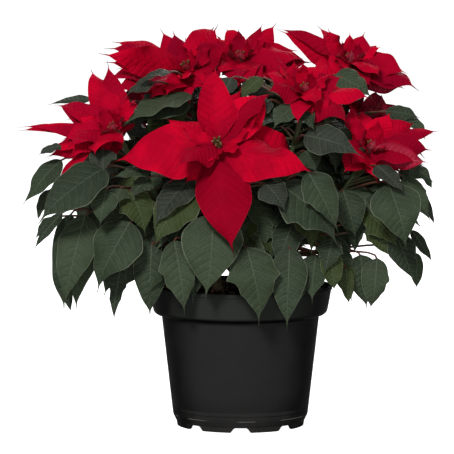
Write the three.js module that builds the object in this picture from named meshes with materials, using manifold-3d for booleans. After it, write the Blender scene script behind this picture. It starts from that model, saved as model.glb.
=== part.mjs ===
// Poinsettia (Euphorbia pulcherrima) in a black nursery pot. Millimetres, +Z up: the pot stands on z = 0
// about the Z axis, and the plant's fuller side faces -Y.
//
// Every red bract and green leaf is a blade: a closed thin sheet along an arched midrib, folded a little at
// the midrib, with a pointed outline that may carry an angular lobe on either side. Blades are fused to the
// receptacle or the stem that they grow from. A blade that would touch another piece is bent clear of it.

import * as THREE from "three";
import { mergeVertices } from "three/addons/utils/BufferGeometryUtils.js";
import Module from "manifold-3d";

const wasm = await Module();
wasm.setup();

// ---------------------------------------------------------------- driving dimensions

const GAP = 0.3; // air between pieces that touch
const SLIVER = 0.03; // facets thinner than this are merged away after a join
const UP = new THREE.Vector3(0, 0, 1);
const GOLDEN_ANGLE = 137.5; // degrees from one leaf or bract to the next

const POT = {
  height: 145,
  rimRadius: 95,
  bandRadius: 90, // lower corner of the rim band
  bandHeight: 26,
  neckRadius: 81.5, // body just under the band
  baseRadius: 70,
  footRadius: 66,
  footHeight: 6,
  footWidth: 4,
  heelHeight: 13, // where the wall curves in to the foot
  plateHeight: 5, // underside of the base above the ground
  hubRadius: 20, // middle of the base, which dips down to the ground
  wall: 1.8,
  facets: 28,
};
const NOTCH = { count: 8, width: 20.6, topWidth: 11.6, height: 5, depth: 14 };
const SLOT = { radius: 53, width: 12, length: 6 };

const SOIL = { edgeHeight: 138.5, crownHeight: 143, facets: POT.facets / 2 };
const TRUNK = { radius: 5.5, foot: 112, top: 150, forkRadius: 3.8, forkLength: 24, sides: 6 };
const HOLE = { height: 60, facets: 10 }; // cut for a trunk, from its foot up out of the soil
const TRUNK_PLACES = [
  [-24, -20],
  [28, -14],
  [-2, 30],
];
const STEM = { radius: 2.8, sides: 5, steps: 5 };
const PETIOLE = { halfWidth: 1.3, thickness: 2, below: [12, 28, 44, 62, 0] };
const RECEPTACLE = { radius: 4.2, below: 13, above: 1, sides: 6 };
const BRACT_ROOTS = { low: -11.5, high: -0.2, sunk: 2 };
const CYATHIA = { lobes: 4, radius: 3.4, swell: 1, height: 6, points: 8 };

// Bracts and leaves set by rule. Lifts and droops are degrees, widths and bows are shares of the length.
const RING = { firstLift: -14, lastLift: 16, width: 0.5, bow: 0.1 };
const SHOOT = {
  fromShare: 0.3, // part of the stem that carries them
  toShare: 0.88,
  petiole: 36,
  rise: 12,
  lowDroop: 58,
  highDroop: 22,
  lengthSway: 0.18,
  width: 0.52,
  bow: 0.1,
  rollSway: 14,
};
const RING_OUTLINES = ["lobed", "plain", "plain", "plain", "plain"];

const BLADE = { thickness: 0.8, clearance: 0.7 };
const BRACT_FOLD = -0.1;
const LEAF_FOLD = 0.14;

// Half width at stations along a blade, as a share of its widest: left edge, then right edge.
const SMOOTH = [0.03, 0.62, 1, 0.9, 0.44, 0];
const LOBE = [0.03, 0.6, 1, 0.72, 0.34, 0];
const FEW = { stations: [0, 0.15, 0.42, 0.75, 1], edge: [0.03, 0.66, 1, 0.56, 0] };
const LOBED_STATIONS = [0, 0.15, 0.4, 0.56, 0.8, 1];
const OUTLINES = {
  plain: { stations: FEW.stations, left: FEW.edge, right: FEW.edge },
  lobed: { stations: LOBED_STATIONS, left: LOBE, right: LOBE },
  left: { stations: LOBED_STATIONS, left: LOBE, right: SMOOTH },
  right: { stations: LOBED_STATIONS, left: SMOOTH, right: LOBE },
  simple: { stations: [0, 0.32, 0.68, 1], left: [0.03, 1, 0.72, 0], right: [0.03, 1, 0.72, 0] },
};

// Bends that a blade may take about its root, in degrees [droop, turn], and the sizes that it may shrink to.
const BENDS = [
  [0, 0], [5, 0], [-5, 0], [0, 6], [0, -6], [10, 0], [-10, 0], [0, 12], [0, -12], [10, 12], [10, -12],
  [-10, 12], [-10, -12], [18, 0], [-18, 0], [0, 20], [0, -20], [18, 20], [18, -20], [-18, 20], [-18, -20],
  [28, 0], [-28, 0], [0, 30], [0, -30], [28, 30], [28, -30],
];
const SLIGHT_BENDS = 5; // how many of them, from the first, are slight
const SIZES = [1, 0.82, 0.66];

// ---------------------------------------------------------------- the plant
// A bloom has its centre, the way it faces, and the fork it grows from: trunk, azimuth and elevation.
// A bract: tip right, back and up of the centre; width; bow of its midrib; roll; outline.
// A leaf: root of its blade; tip; width; bow; roll; outline.
// ring = bracts set round the bloom by rule: count, longest, shortest, first clock angle, clock sector.
// shoots = leaves set along the stem by rule: count, middle azimuth, sector, longest.

const BLOOMS = [
  {
    centre: [-23, -95, 297],
    facing: [-0.1, -0.78, 0.62],
    fork: [0, 270, 50],
    bracts: [
      [-56, 44, 26, 36, 4, 0, "plain"],
      [-35, 10, -43, 26, 6, 0, "plain"],
      [-54, 5, -42, 28, 6, 0, "left"],
      [47, 26, 39, 30, 4, 0, "plain"],
      [60, 35, 52, 30, 12, -30, "plain"],
      [-1, 40, 80, 42, 10, -25, "plain"],
      [11, -45, -111, 56, 12, 0, "plain"],
      [99, -10, -31, 56, 10, 0, "left"],
      [-110, 2, -13, 60, 7, 0, "plain"],
      [-45, -45, -9, 30, 3, 0, "plain"],
    ],
    ring: null,
    leaves: [
      [-67, -95, 200, -55, -106, 124, 42, 4, 0, "lobed"],
      [-27, -100, 227, -32, -124, 142, 62, 6, 0, "plain"],
      [-46, -82, 249, -91, -96, 194, 46, 6, 0, "plain"],
      [-51, -76, 261, -95, -106, 222, 38, 4, 0, "plain"],
      [-93, -76, 262, -111, -90, 241, 22, 2, 0, "lobed"],
      [6, -104, 194, 23, -124, 117, 56, 5, 0, "lobed"],
      [24, -108, 258, 46, -122, 231, 32, 3, 0, "plain"],
      [39, -92, 256, 107, -108, 201, 66, 8, 0, "lobed"],
      [9, -60, 223, 20, -75, 181, 40, 4, 0, "plain"],
    ],
    shoots: [5, 70, 220, 84],
  },
  {
    centre: [-128, -50, 310],
    facing: [-0.35, -0.62, 0.7],
    fork: [0, 195, 45],
    bracts: [
      [-70, -10, -28, 24, 8, 0, "plain"],
      [-61, -30, -54, 26, 8, 20, "left"],
      [-53, 50, 10, 26, 4, 0, "plain"],
      [-103, 20, 0, 16, 4, 0, "plain"],
      [-29, 60, 44, 26, 8, 0, "plain"],
      [22, 45, 30, 28, 4, 0, "plain"],
      [-64, 25, 21, 24, 4, 0, "plain"],
      [-48, -40, -17, 38, 6, 0, "plain"],
      [-10, 25, 68, 31, -5, 0, "plain"],
      [-22, -62, -24, 34, 6, 0, "plain"],
    ],
    ring: null,
    leaves: [
      [-136, -92, 273, -205, -118, 219, 54, 6, 0, "plain"],
      [-182, -50, 278, -222, -60, 229, 26, 4, 0, "plain"],
      [-181, -60, 225, -211, -68, 186, 14, 3, 0, "plain"],
      [-157, -72, 224, -179, -86, 129, 40, 5, 0, "plain"],
      [-151, -60, 205, -172, -68, 123, 30, 4, 0, "plain"],
      [-135, -98, 251, -141, -112, 215, 28, 3, 0, "plain"],
      [-111, -88, 218, -148, -102, 146, 54, 5, 0, "plain"],
      [-120, -70, 176, -131, -74, 112, 18, 4, 0, "lobed"],
      [-139, -78, 290, -138, -98, 267, 28, 3, 0, "plain"],
      [-90, -82, 194, -93, -80, 118, 36, 4, 0, "plain"],
      [-91, -82, 270, -129, -92, 262, 20, 3, 0, "plain"],
      [-112, -75, 248, -94, -88, 204, 42, 5, 0, "lobed"],
      [-121, -80, 251, -121, -90, 227, 26, 3, 0, "lobed"],
    ],
    shoots: [5, 120, 220, 88],
  },
  {
    centre: [-56, 20, 369],
    facing: [-0.1, -0.62, 0.78],
    fork: [0, 110, 72],
    bracts: [
      [-74, -8, -1, 34, 6, 0, "plain"],
      [-47, -45, -26, 22, 4, 0, "plain"],
      [3, -55, -36, 34, 5, 0, "plain"],
      [36, -42, -16, 34, 5, 0, "plain"],
      [-86, 8, 16, 28, 6, 0, "plain"],
      [-80, 30, 30, 36, 5, 0, "left"],
      [-28, 45, 37, 40, -4, 0, "lobed"],
      [41, 12, 28, 40, -4, 0, "plain"],
      [30, 40, 46, 38, -4, 0, "plain"],
      [-23, -50, -32, 36, 6, 0, "plain"],
      [-1, 46, 31, 34, -3, 0, "plain"],
    ],
    ring: null,
    leaves: [
      [-52, -16, 337, -126, -42, 309, 36, 6, 0, "plain"],
      [-154, 20, 336, -201, 20, 330, 14, 3, 0, "plain"],
    ],
    shoots: [5, 150, 300, 92],
  },
  {
    centre: [0, 60, 378],
    facing: [0.05, -0.5, 0.86],
    fork: [2, 90, 80],
    bracts: [
      [37, 40, 17, 26, 4, 0, "plain"],
      [74, -12, -2, 36, 8, 0, "plain"],
      [-24, -45, -20, 32, 5, 0, "plain"],
      [-2, -52, -29, 36, 5, 0, "plain"],
      [32, -46, -28, 34, 5, 0, "plain"],
      [-30, 34, 24, 38, -4, 0, "plain"],
      [39, 22, 36, 28, -4, 0, "plain"],
      [-15, 12, 22, 34, -3, 0, "plain"],
      [63, 20, 8, 30, 4, 0, "plain"],
    ],
    ring: [1, 66, 66, 95, 60],
    leaves: [],
    shoots: [6, 180, 340, 88],
  },
  {
    centre: [65, -45, 349],
    facing: [0.05, -0.6, 0.8],
    fork: [1, 270, 70],
    bracts: [
      [70, 0, -7, 30, 5, 0, "plain"],
      [47, -30, -33, 36, 6, 0, "plain"],
      [-40, -25, -5, 28, 5, 0, "plain"],
      [32, 30, 15, 28, 4, 0, "plain"],
      [-43, 11, 19, 34, 4, 0, "plain"],
      [-12, 20, 31, 36, -4, 0, "plain"],
      [-9, -52, -31, 22, 4, 0, "plain"],
    ],
    ring: null,
    leaves: [
      [49, -90, 191, 46, -108, 109, 38, 5, 0, "plain"],
      [58, -80, 178, 48, -98, 120, 30, 4, 0, "plain"],
      [67, -98, 269, 97, -116, 208, 40, 5, 0, "right"],
      [64, -70, 304, 125, -92, 285, 36, 5, 15, "plain"],
      [55, -60, 333, 29, -100, 320, 28, 4, 0, "plain"],
      [55, -60, 333, 69, -92, 318, 26, 4, 0, "plain"],
      [93, -80, 201, 84, -98, 165, 28, 3, 0, "lobed"],
      [76, -70, 183, 69, -98, 138, 38, 4, 0, "lobed"],
      [65, -50, 287, 78, -60, 265, 26, 3, 0, "plain"],
    ],
    shoots: [5, 120, 300, 84],
  },
  {
    centre: [114, 45, 376],
    facing: [0.15, -0.5, 0.85],
    fork: [1, 60, 68],
    bracts: [
      [59, 22, -29, 42, 6, 0, "plain"],
      [73, -20, -29, 50, 10, 10, "plain"],
      [30, 55, 17, 30, 4, 0, "plain"],
      [4, -50, -26, 36, 5, 0, "plain"],
      [32, -50, -14, 28, 5, 0, "plain"],
      [-40, -48, -15, 36, 5, 0, "plain"],
      [-31, 35, 38, 24, -3, 0, "plain"],
      [16, 24, 29, 44, -4, 0, "lobed"],
      [-74, 4, 35, 26, -4, -25, "plain"],
    ],
    ring: null,
    leaves: [
      [97, -2, 362, 137, -10, 339, 34, 4, 15, "plain"],
      [149, 0, 324, 186, 0, 317, 22, 3, 0, "plain"],
      [164, -10, 275, 199, -14, 251, 26, 3, 0, "plain"],
    ],
    shoots: [4, 90, 300, 90],
  },
  {
    centre: [132, -40, 290],
    facing: [0.35, -0.6, 0.72],
    fork: [1, 330, 45],
    bracts: [
      [50, 22, -25, 30, 5, 0, "plain"],
      [-31, -35, -23, 30, 5, 0, "plain"],
      [73, 40, 14, 16, 5, 0, "plain"],
      [57, -20, -16, 40, 6, 0, "plain"],
      [50, 30, 24, 42, 4, 0, "lobed"],
      [-19, 14, 46, 28, -3, 0, "plain"],
      [21, 22, 38, 30, -3, 0, "plain"],
    ],
    ring: [1, 50, 50, 80, 70],
    leaves: [
      [149, -72, 255, 169, -96, 190, 52, 5, 0, "plain"],
      [157, -40, 203, 178, -48, 147, 30, 4, 0, "plain"],
      [175, -25, 204, 197, -30, 168, 14, 3, 0, "plain"],
      [166, -30, 260, 195, -38, 210, 30, 4, 0, "lobed"],
      [137, -62, 273, 166, -94, 250, 24, 3, 0, "plain"],
      [162, -20, 265, 190, -25, 245, 24, 3, 0, "lobed"],
      [102, -55, 174, 112, -58, 131, 22, 3, 0, "plain"],
      [122, -48, 181, 132, -50, 124, 34, 4, 0, "plain"],
      [126, -42, 226, 163, -50, 186, 38, 4, 0, "lobed"],
      [104, -50, 247, 117, -60, 197, 36, 4, 0, "plain"],
    ],
    shoots: [4, 60, 180, 88],
  },
  {
    centre: [-128, 78, 316],
    facing: [-0.5, 0.4, 0.77],
    fork: [2, 170, 48],
    bracts: [],
    ring: [8, 84, 50, 20, 360],
    leaves: [],
    shoots: [5, 165, 250, 100],
  },
  {
    centre: [-45, 148, 322],
    facing: [-0.15, 0.62, 0.77],
    fork: [2, 115, 48],
    bracts: [],
    ring: [8, 88, 52, 100, 360],
    leaves: [],
    shoots: [5, 110, 220, 104],
  },
  {
    centre: [58, 146, 326],
    facing: [0.2, 0.6, 0.78],
    fork: [2, 60, 48],
    bracts: [],
    ring: [8, 86, 52, 45, 360],
    leaves: [],
    shoots: [5, 65, 220, 104],
  },
  {
    centre: [138, 84, 312],
    facing: [0.5, 0.42, 0.75],
    fork: [1, 30, 42],
    bracts: [],
    ring: [8, 82, 50, 75, 360],
    leaves: [],
    shoots: [5, 35, 220, 86],
  },
];

const MATERIALS = {
  pot: { color: 0x1d1d1e, roughness: 0.5, metalness: 0 },
  soil: { color: 0x2b1c12, roughness: 1, metalness: 0 },
  trunk: { color: 0x6d5a3e, roughness: 0.85, metalness: 0 },
  stem: { color: 0x3a5038, roughness: 0.6, metalness: 0 },
  bract: { color: 0xbf0a26, roughness: 0.55, metalness: 0 },
  cyathia: { color: 0x9a9a2c, roughness: 0.5, metalness: 0 },
};

// ---------------------------------------------------------------- solids

const radians = THREE.MathUtils.degToRad;
const vector = (xyz) => new THREE.Vector3(...xyz);

// A closed geometry as a solid that can be joined and cut.
function solidFrom(geometry) {
  const bare = new THREE.BufferGeometry();
  bare.setAttribute("position", geometry.getAttribute("position"));
  if (geometry.index) bare.setIndex(geometry.index);
  const merged = mergeVertices(bare, 1e-4);
  return new wasm.Manifold(
    new wasm.Mesh({
      numProp: 3,
      vertProperties: new Float32Array(merged.attributes.position.array),
      triVerts: new Uint32Array(merged.index.array),
    }),
  );
}

// Joins solids into one body. Scraps and sealed hollows inside it are dropped.
function fuse(solids) {
  const joined = solids.reduce((all, next) => all.add(next));
  const body = joined.decompose().reduce((big, next) => (next.volume() > big.volume() ? next : big));
  return body.simplify(SLIVER);
}

function meshFrom(name, solid, material) {
  const { vertProperties, triVerts } = solid.getMesh();
  const geometry = new THREE.BufferGeometry();
  geometry.setAttribute("position", new THREE.BufferAttribute(vertProperties, 3));
  geometry.setIndex(new THREE.BufferAttribute(triVerts, 1));
  geometry.computeVertexNormals();
  const mesh = new THREE.Mesh(geometry, new THREE.MeshStandardMaterial(material));
  mesh.name = name;
  return mesh;
}

// A round bar with flat ends along a curve.
function bar(curve, radius, sides, steps) {
  const section = new THREE.Shape(
    Array.from({ length: sides }, (_, i) => {
      const angle = (2 * Math.PI * i) / sides;
      return new THREE.Vector2(radius * Math.cos(angle), radius * Math.sin(angle));
    }),
  );
  return solidFrom(new THREE.ExtrudeGeometry(section, { extrudePath: curve, steps }));
}

// ---------------------------------------------------------------- blades

// The arched midrib of a blade and the directions across and out of it.
function bladeFrame({ root, tip, face, bow, roll }) {
  const along = tip.clone().sub(root);
  const length = along.length();
  along.normalize();
  const out = face.clone().addScaledVector(along, -face.dot(along)).normalize();
  out.applyAxisAngle(along, radians(roll));
  const across = along.clone().cross(out);
  const midrib = (t) =>
    root.clone().addScaledVector(along, length * t).addScaledVector(out, 4 * bow * t * (1 - t));
  const normal = (t) =>
    out.clone().multiplyScalar(length).addScaledVector(along, -4 * bow * (1 - 2 * t)).normalize();
  return { midrib, normal, across };
}

// Rows across a blade from root to tip: middle, directions across and out, reach to each side, thickness.
function bladeRows(blade, thickness, margin) {
  const { midrib, normal, across } = bladeFrame(blade);
  const { stations, left, right } = OUTLINES[blade.outline];
  return stations.map((t, i) => ({
    middle: midrib(t),
    across,
    out: normal(t),
    left: (blade.width / 2) * left[i] + margin,
    right: (blade.width / 2) * right[i] + margin,
    fold: blade.fold,
    thickness,
    count: i === 0 || i === stations.length - 1 ? 1 : 3,
  }));
}

// The row that a petiole starts from, inside the stem some way below the root of the blade. The blade's own
// directions are turned back along the petiole with no twist.
function petioleStart(stem, blade, margin) {
  const { midrib, normal, across } = bladeFrame(blade);
  const height = blade.root.z - blade.below;
  const start = stem
    .getPoints(40)
    .slice(4, 38)
    .reduce((best, p) => (Math.abs(p.z - height) < Math.abs(best.z - height) ? p : best));
  const onward = midrib(0.02).sub(blade.root).normalize();
  const way = blade.root.clone().sub(start).normalize();
  const turn = new THREE.Quaternion().setFromUnitVectors(onward, way);
  return petioleRow(start, across.clone().applyQuaternion(turn), normal(0).applyQuaternion(turn), margin);
}

function petioleRow(middle, across, out, margin) {
  const reach = PETIOLE.halfWidth + margin;
  const thickness = PETIOLE.thickness + 2 * margin;
  return { middle, across, out, left: reach, right: reach, fold: 0, thickness, count: 2 };
}

// A closed sheet through rows. On each of its two faces a row has one point, its middle, or two, its edges,
// or three. It ends in a point, and its two faces are split into triangles alike.
function sheet(rows) {
  const points = [];
  const triangles = [];
  const quad = (a, b, c, d) => triangles.push(a, b, c, a, c, d);
  const faces = rows.map(({ middle, across, out, left, right, fold, thickness, count }) => {
    const reaches = { 1: [0], 2: [-left, right], 3: [-left, 0, right] }[count];
    return [thickness / 2, -thickness / 2].map((side) =>
      reaches.map((reach) => {
        const lift = side + fold * Math.abs(reach);
        return points.push(middle.clone().addScaledVector(across, reach).addScaledVector(out, lift)) - 1;
      }),
    );
  });
  const [firstTop, firstUnder] = faces[0];
  for (let i = 0; i < firstTop.length - 1; i++) {
    quad(firstUnder[i], firstUnder[i + 1], firstTop[i + 1], firstTop[i]);
  }
  faces.slice(1).forEach(([top, under], i) => {
    const [topBefore, underBefore] = faces[i];
    zip(topBefore, top).forEach(([a, b, c]) => triangles.push(a, b, c));
    zip(underBefore, under).forEach(([a, b, c]) => triangles.push(c, b, a));
    quad(underBefore[0], topBefore[0], top[0], under[0]);
    quad(topBefore.at(-1), underBefore.at(-1), under.at(-1), top.at(-1));
  });
  return solidFrom(
    new THREE.BufferGeometry()
      .setAttribute("position", new THREE.Float32BufferAttribute(points.flatMap((p) => p.toArray()), 3))
      .setIndex(triangles),
  );
}

// The triangles between one row of points and the next, taking a step along whichever row is behind.
function zip(row, next) {
  const triangles = [];
  let i = 0;
  let j = 0;
  while (i < row.length - 1 || j < next.length - 1) {
    const stepRow = j === next.length - 1 || (i + 1) / (row.length - 1) <= (j + 1) / (next.length - 1);
    if (stepRow) triangles.push([row[i], row[++i], next[j]]);
    else triangles.push([row[i], next[j + 1], next[j++]]);
  }
  return triangles;
}

// The blade swung about its root: droop lowers its tip, turn swings it round the vertical.
function bent(blade, [droop, turn], size) {
  const reach = blade.tip.clone().sub(blade.root).multiplyScalar(size);
  reach.applyAxisAngle(UP, radians(turn));
  const hinge = reach.clone().cross(UP).normalize();
  reach.applyAxisAngle(hinge, -radians(droop));
  return {
    ...blade,
    tip: blade.root.clone().add(reach),
    width: blade.width * size,
    bow: blade.bow * size,
  };
}

// ---------------------------------------------------------------- keeping pieces apart

const placed = [];

// Notes a solid of a piece. Its limb is the stretch that the piece's own blades must miss as well.
function keep(piece, solid, limb = solid) {
  placed.push({ piece, solid, limb, box: solid.boundingBox() });
  return solid;
}

function boxesMeet(a, b) {
  return a.min.every((low, i) => low <= b.max[i] && b.min[i] <= a.max[i]);
}

function meets(a, b) {
  return !a.intersect(b).isEmpty();
}

// The sheets of a blade: the whole of it, with its petiole if it grows from a stem, and its limb.
function bladeSheets(blade, stem, thickness, margin) {
  const rows = bladeRows(blade, thickness, margin);
  const limb = sheet(rows.slice(1));
  if (!stem) return { whole: sheet(rows), limb };
  const { middle, across, out } = rows[0];
  const petiole = [petioleStart(stem, blade, margin), petioleRow(middle, across, out, margin)];
  return { whole: sheet([...petiole, ...rows.slice(1)]), limb };
}

// Places a blade at the first bend and size at which it touches no other piece and, if it can be helped, no
// other blade of its own piece. A bract would rather cross its neighbours than bend far.
function placeBlade(piece, blade, stem) {
  const fits = (trial, among) => {
    const { whole, limb } = bladeSheets(trial, stem, BLADE.thickness + BLADE.clearance, BLADE.clearance / 2);
    const box = whole.boundingBox();
    const near = placed.filter((other) => boxesMeet(box, other.box));
    return near.every((other) => {
      if (other.piece !== piece) return !meets(other.solid, whole);
      return !among || !meets(other.limb, limb);
    });
  };
  const starts = stem ? PETIOLE.below : [0];
  const trials = SIZES.flatMap((size) =>
    starts.flatMap((below) => BENDS.map((bend) => ({ ...bent(blade, bend, size), below }))),
  );
  const slight = stem ? [] : trials.slice(0, SLIGHT_BENDS);
  const found =
    slight.find((trial) => fits(trial, true)) ??
    slight.find((trial) => fits(trial, false)) ??
    trials.find((trial) => fits(trial, true)) ??
    trials.find((trial) => fits(trial, false));
  if (!found) return [];
  const { whole, limb } = bladeSheets(found, stem, BLADE.thickness, 0);
  return [keep(piece, whole, limb)];
}

// ---------------------------------------------------------------- pot and soil

const { wall } = POT;
const bandFoot = POT.height - POT.bandHeight;

// Outer face of the pot from the middle of its base up to the rim, then the inner face back down.
function potProfile() {
  const path = new THREE.Path();
  path.moveTo(0, 0);
  path.lineTo(POT.hubRadius, 0);
  path.lineTo(POT.hubRadius + 3, POT.plateHeight);
  path.lineTo(POT.footRadius - POT.footWidth, POT.plateHeight);
  path.lineTo(POT.footRadius - POT.footWidth, 0);
  path.lineTo(POT.footRadius, 0);
  path.lineTo(POT.footRadius + 0.6, POT.footHeight);
  path.quadraticCurveTo(POT.baseRadius - 0.6, POT.footHeight + 1, POT.baseRadius, POT.heelHeight);
  path.lineTo(POT.neckRadius, bandFoot - 5.5);
  path.quadraticCurveTo(POT.bandRadius - 0.5, bandFoot - 4.5, POT.bandRadius, bandFoot);
  path.lineTo(POT.rimRadius, POT.height - 0.8);
  path.lineTo(POT.rimRadius - 0.5, POT.height);
  path.lineTo(POT.rimRadius - wall, POT.height);
  path.lineTo(POT.bandRadius - wall, bandFoot + 1);
  path.quadraticCurveTo(POT.bandRadius - wall - 0.5, bandFoot - 2, POT.neckRadius - wall, bandFoot - 3.5);
  path.lineTo(POT.baseRadius - wall, POT.heelHeight);
  path.lineTo(POT.footRadius - wall, POT.plateHeight + wall);
  path.lineTo(POT.hubRadius + 2, POT.plateHeight + wall);
  path.lineTo(POT.hubRadius - 1, wall);
  path.lineTo(0, wall);
  return path.getPoints(2);
}

// A profile [radius, height] turned round the Z axis.
function turned(profile, facets) {
  return solidFrom(new THREE.LatheGeometry(profile, facets).rotateX(Math.PI / 2));
}

// The opening through the foot: wider at the ground, with sloping shoulders.
function notch(turn) {
  const outline = new THREE.Shape([
    new THREE.Vector2(-NOTCH.width / 2, -1),
    new THREE.Vector2(NOTCH.width / 2, -1),
    new THREE.Vector2(NOTCH.width / 2, 0),
    new THREE.Vector2(NOTCH.topWidth / 2 + 1.5, NOTCH.height - 1),
    new THREE.Vector2(NOTCH.topWidth / 2, NOTCH.height),
    new THREE.Vector2(-NOTCH.topWidth / 2, NOTCH.height),
    new THREE.Vector2(-NOTCH.topWidth / 2 - 1.5, NOTCH.height - 1),
    new THREE.Vector2(-NOTCH.width / 2, 0),
  ]);
  const geometry = new THREE.ExtrudeGeometry(outline, { depth: NOTCH.depth, bevelEnabled: false });
  geometry.rotateX(Math.PI / 2);
  geometry.translate(0, NOTCH.depth / 2 - POT.footRadius + POT.footWidth / 2, 0);
  return solidFrom(geometry.rotateZ(turn));
}

// A drain slot through the base plate, inside the foot.
function drainSlot(turn) {
  const geometry = new THREE.BoxGeometry(SLOT.width, SLOT.length, 3 * wall);
  geometry.translate(0, -SLOT.radius, POT.plateHeight + wall / 2);
  return solidFrom(geometry.rotateZ(turn));
}

function buildPot() {
  let pot = turned(potProfile(), POT.facets);
  for (let i = 0; i < NOTCH.count; i++) {
    const turn = (2 * Math.PI * i) / NOTCH.count;
    pot = pot.subtract(notch(turn)).subtract(drainSlot(turn));
  }
  return pot;
}

// Peat that fills the pot, clear of its wall, with a plain hole for each trunk.
function buildSoil() {
  const room = wall + GAP;
  const floor = POT.plateHeight + room;
  const flare = (POT.rimRadius - POT.bandRadius) / POT.bandHeight;
  const edge = POT.bandRadius - room + (SOIL.edgeHeight - bandFoot) * flare;
  const profile = [
    [0, room],
    [POT.hubRadius - 1.5, room],
    [POT.hubRadius + 1.5, floor],
    [POT.footRadius - room - 0.4, floor],
    [POT.baseRadius - room - 0.2, POT.heelHeight],
    [POT.neckRadius - room, bandFoot - 3],
    [POT.bandRadius - room - 1, bandFoot + 1],
    [edge - 0.4, SOIL.edgeHeight - 1],
    [edge - 4, SOIL.edgeHeight],
    [edge * 0.6, SOIL.crownHeight - 1],
    [0, SOIL.crownHeight],
  ];
  const soil = turned(profile.map(([r, z]) => new THREE.Vector2(r, z)), SOIL.facets);
  return TRUNK_PLACES.reduce((left, [x, y]) => {
    const radius = TRUNK.radius + GAP;
    const hole = new THREE.CylinderGeometry(radius, radius, HOLE.height, HOLE.facets);
    hole.rotateX(Math.PI / 2).translate(x, y, TRUNK.foot + HOLE.height / 2);
    return left.subtract(solidFrom(hole));
  }, soil);
}

// ---------------------------------------------------------------- trunks and stems

function forkOf(bloom) {
  const [trunk, azimuth, elevation] = bloom.fork;
  const [x, y] = TRUNK_PLACES[trunk];
  const way = new THREE.Vector3(1, 0, 0)
    .applyAxisAngle(new THREE.Vector3(0, -1, 0), radians(elevation))
    .applyAxisAngle(UP, radians(azimuth));
  const start = new THREE.Vector3(x, y, TRUNK.top);
  return { start, way, end: start.clone().addScaledVector(way, TRUNK.forkLength) };
}

function buildTrunk(index) {
  const [x, y] = TRUNK_PLACES[index];
  const foot = new THREE.Vector3(x, y, TRUNK.foot + GAP);
  const head = new THREE.Vector3(x, y, TRUNK.top + 3);
  const pieces = [bar(new THREE.LineCurve3(foot, head), TRUNK.radius, TRUNK.sides, 1)];
  BLOOMS.filter((bloom) => bloom.fork[0] === index).forEach((bloom) => {
    const { start, end } = forkOf(bloom);
    pieces.push(bar(new THREE.LineCurve3(start, end), TRUNK.forkRadius, TRUNK.sides, 1));
  });
  return fuse(pieces);
}

// The stem leaves its fork straight on and comes up under the bloom along the way that it faces.
function stemCurve(bloom) {
  const { way, end } = forkOf(bloom);
  const facing = vector(bloom.facing).normalize();
  const from = end.clone().addScaledVector(way, GAP);
  const to = vector(bloom.centre).addScaledVector(facing, -RECEPTACLE.below - GAP);
  const span = from.distanceTo(to);
  return new THREE.CubicBezierCurve3(
    from,
    from.clone().addScaledVector(way, 0.35 * span),
    to.clone().addScaledVector(facing, -0.3 * span),
    to,
  );
}

// ---------------------------------------------------------------- blooms

// Turns a geometry's +Z to the way the bloom faces and moves it to the bloom's centre.
function setOnBloom(geometry, bloom) {
  const turn = new THREE.Quaternion().setFromUnitVectors(UP, vector(bloom.facing).normalize());
  return solidFrom(geometry.applyQuaternion(turn).translate(...bloom.centre));
}

function receptacle(bloom) {
  const { radius, below, above, sides } = RECEPTACLE;
  const geometry = new THREE.CylinderGeometry(radius, radius * 0.8, below + above, sides);
  return setOnBloom(geometry.rotateX(Math.PI / 2).translate(0, 0, (above - below) / 2), bloom);
}

// The small cups in the middle of a bloom, grown together: a clover-shaped outline raised from the top.
function buildCyathia(bloom) {
  const { lobes, radius, swell, height, points } = CYATHIA;
  const outline = Array.from({ length: points }, (_, i) => {
    const angle = (2 * Math.PI * i) / points;
    const reach = radius + swell * Math.cos(lobes * angle);
    return new THREE.Vector2(reach * Math.cos(angle), reach * Math.sin(angle));
  });
  const shape = new THREE.ExtrudeGeometry(new THREE.Shape(outline), { depth: height, bevelEnabled: false });
  return setOnBloom(shape.translate(0, 0, RECEPTACLE.above + GAP), bloom);
}

// Bract tips set round a bloom: each a golden angle on, the later ones shorter and lifted more.
function ringTips(bloom) {
  if (!bloom.ring) return [];
  const [count, longest, shortest, first, sector] = bloom.ring;
  const facing = vector(bloom.facing).normalize();
  const right = new THREE.Vector3(0, 1, 0).cross(facing).normalize();
  const top = facing.clone().cross(right);
  return Array.from({ length: count }, (_, k) => {
    const share = count > 1 ? k / (count - 1) : 0;
    const step = sector === 360 ? GOLDEN_ANGLE * k : sector * share;
    const clock = radians(first + step);
    const lift = radians(RING.firstLift + (RING.lastLift - RING.firstLift) * share);
    const length = longest + (shortest - longest) * share;
    const tip = right.clone().multiplyScalar(Math.cos(clock)).addScaledVector(top, Math.sin(clock));
    tip.multiplyScalar(Math.cos(lift)).addScaledVector(facing, Math.sin(lift)).multiplyScalar(length);
    const outline = RING_OUTLINES[k % RING_OUTLINES.length];
    return [...tip.toArray(), RING.width * length, RING.bow * length, 0, outline];
  });
}

function bractBlades(bloom) {
  const centre = vector(bloom.centre);
  const facing = vector(bloom.facing).normalize();
  const lift = ([right, back, up]) => vector([right, back, up]).normalize().dot(facing);
  const rows = [...ringTips(bloom), ...bloom.bracts].sort((a, b) => lift(a) - lift(b));
  return rows.map(([right, back, up, width, bow, roll, outline], k) => {
    const tip = new THREE.Vector3(right, back, up);
    const height = BRACT_ROOTS.low + ((BRACT_ROOTS.high - BRACT_ROOTS.low) * k) / (rows.length - 1);
    const sideways = tip.clone().addScaledVector(facing, -tip.dot(facing)).normalize();
    const root = centre.clone().addScaledVector(facing, height).addScaledVector(sideways, BRACT_ROOTS.sunk);
    return { root, tip: tip.add(centre), width, bow, roll, outline, face: facing, fold: BRACT_FOLD };
  });
}

// ---------------------------------------------------------------- leaves

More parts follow.
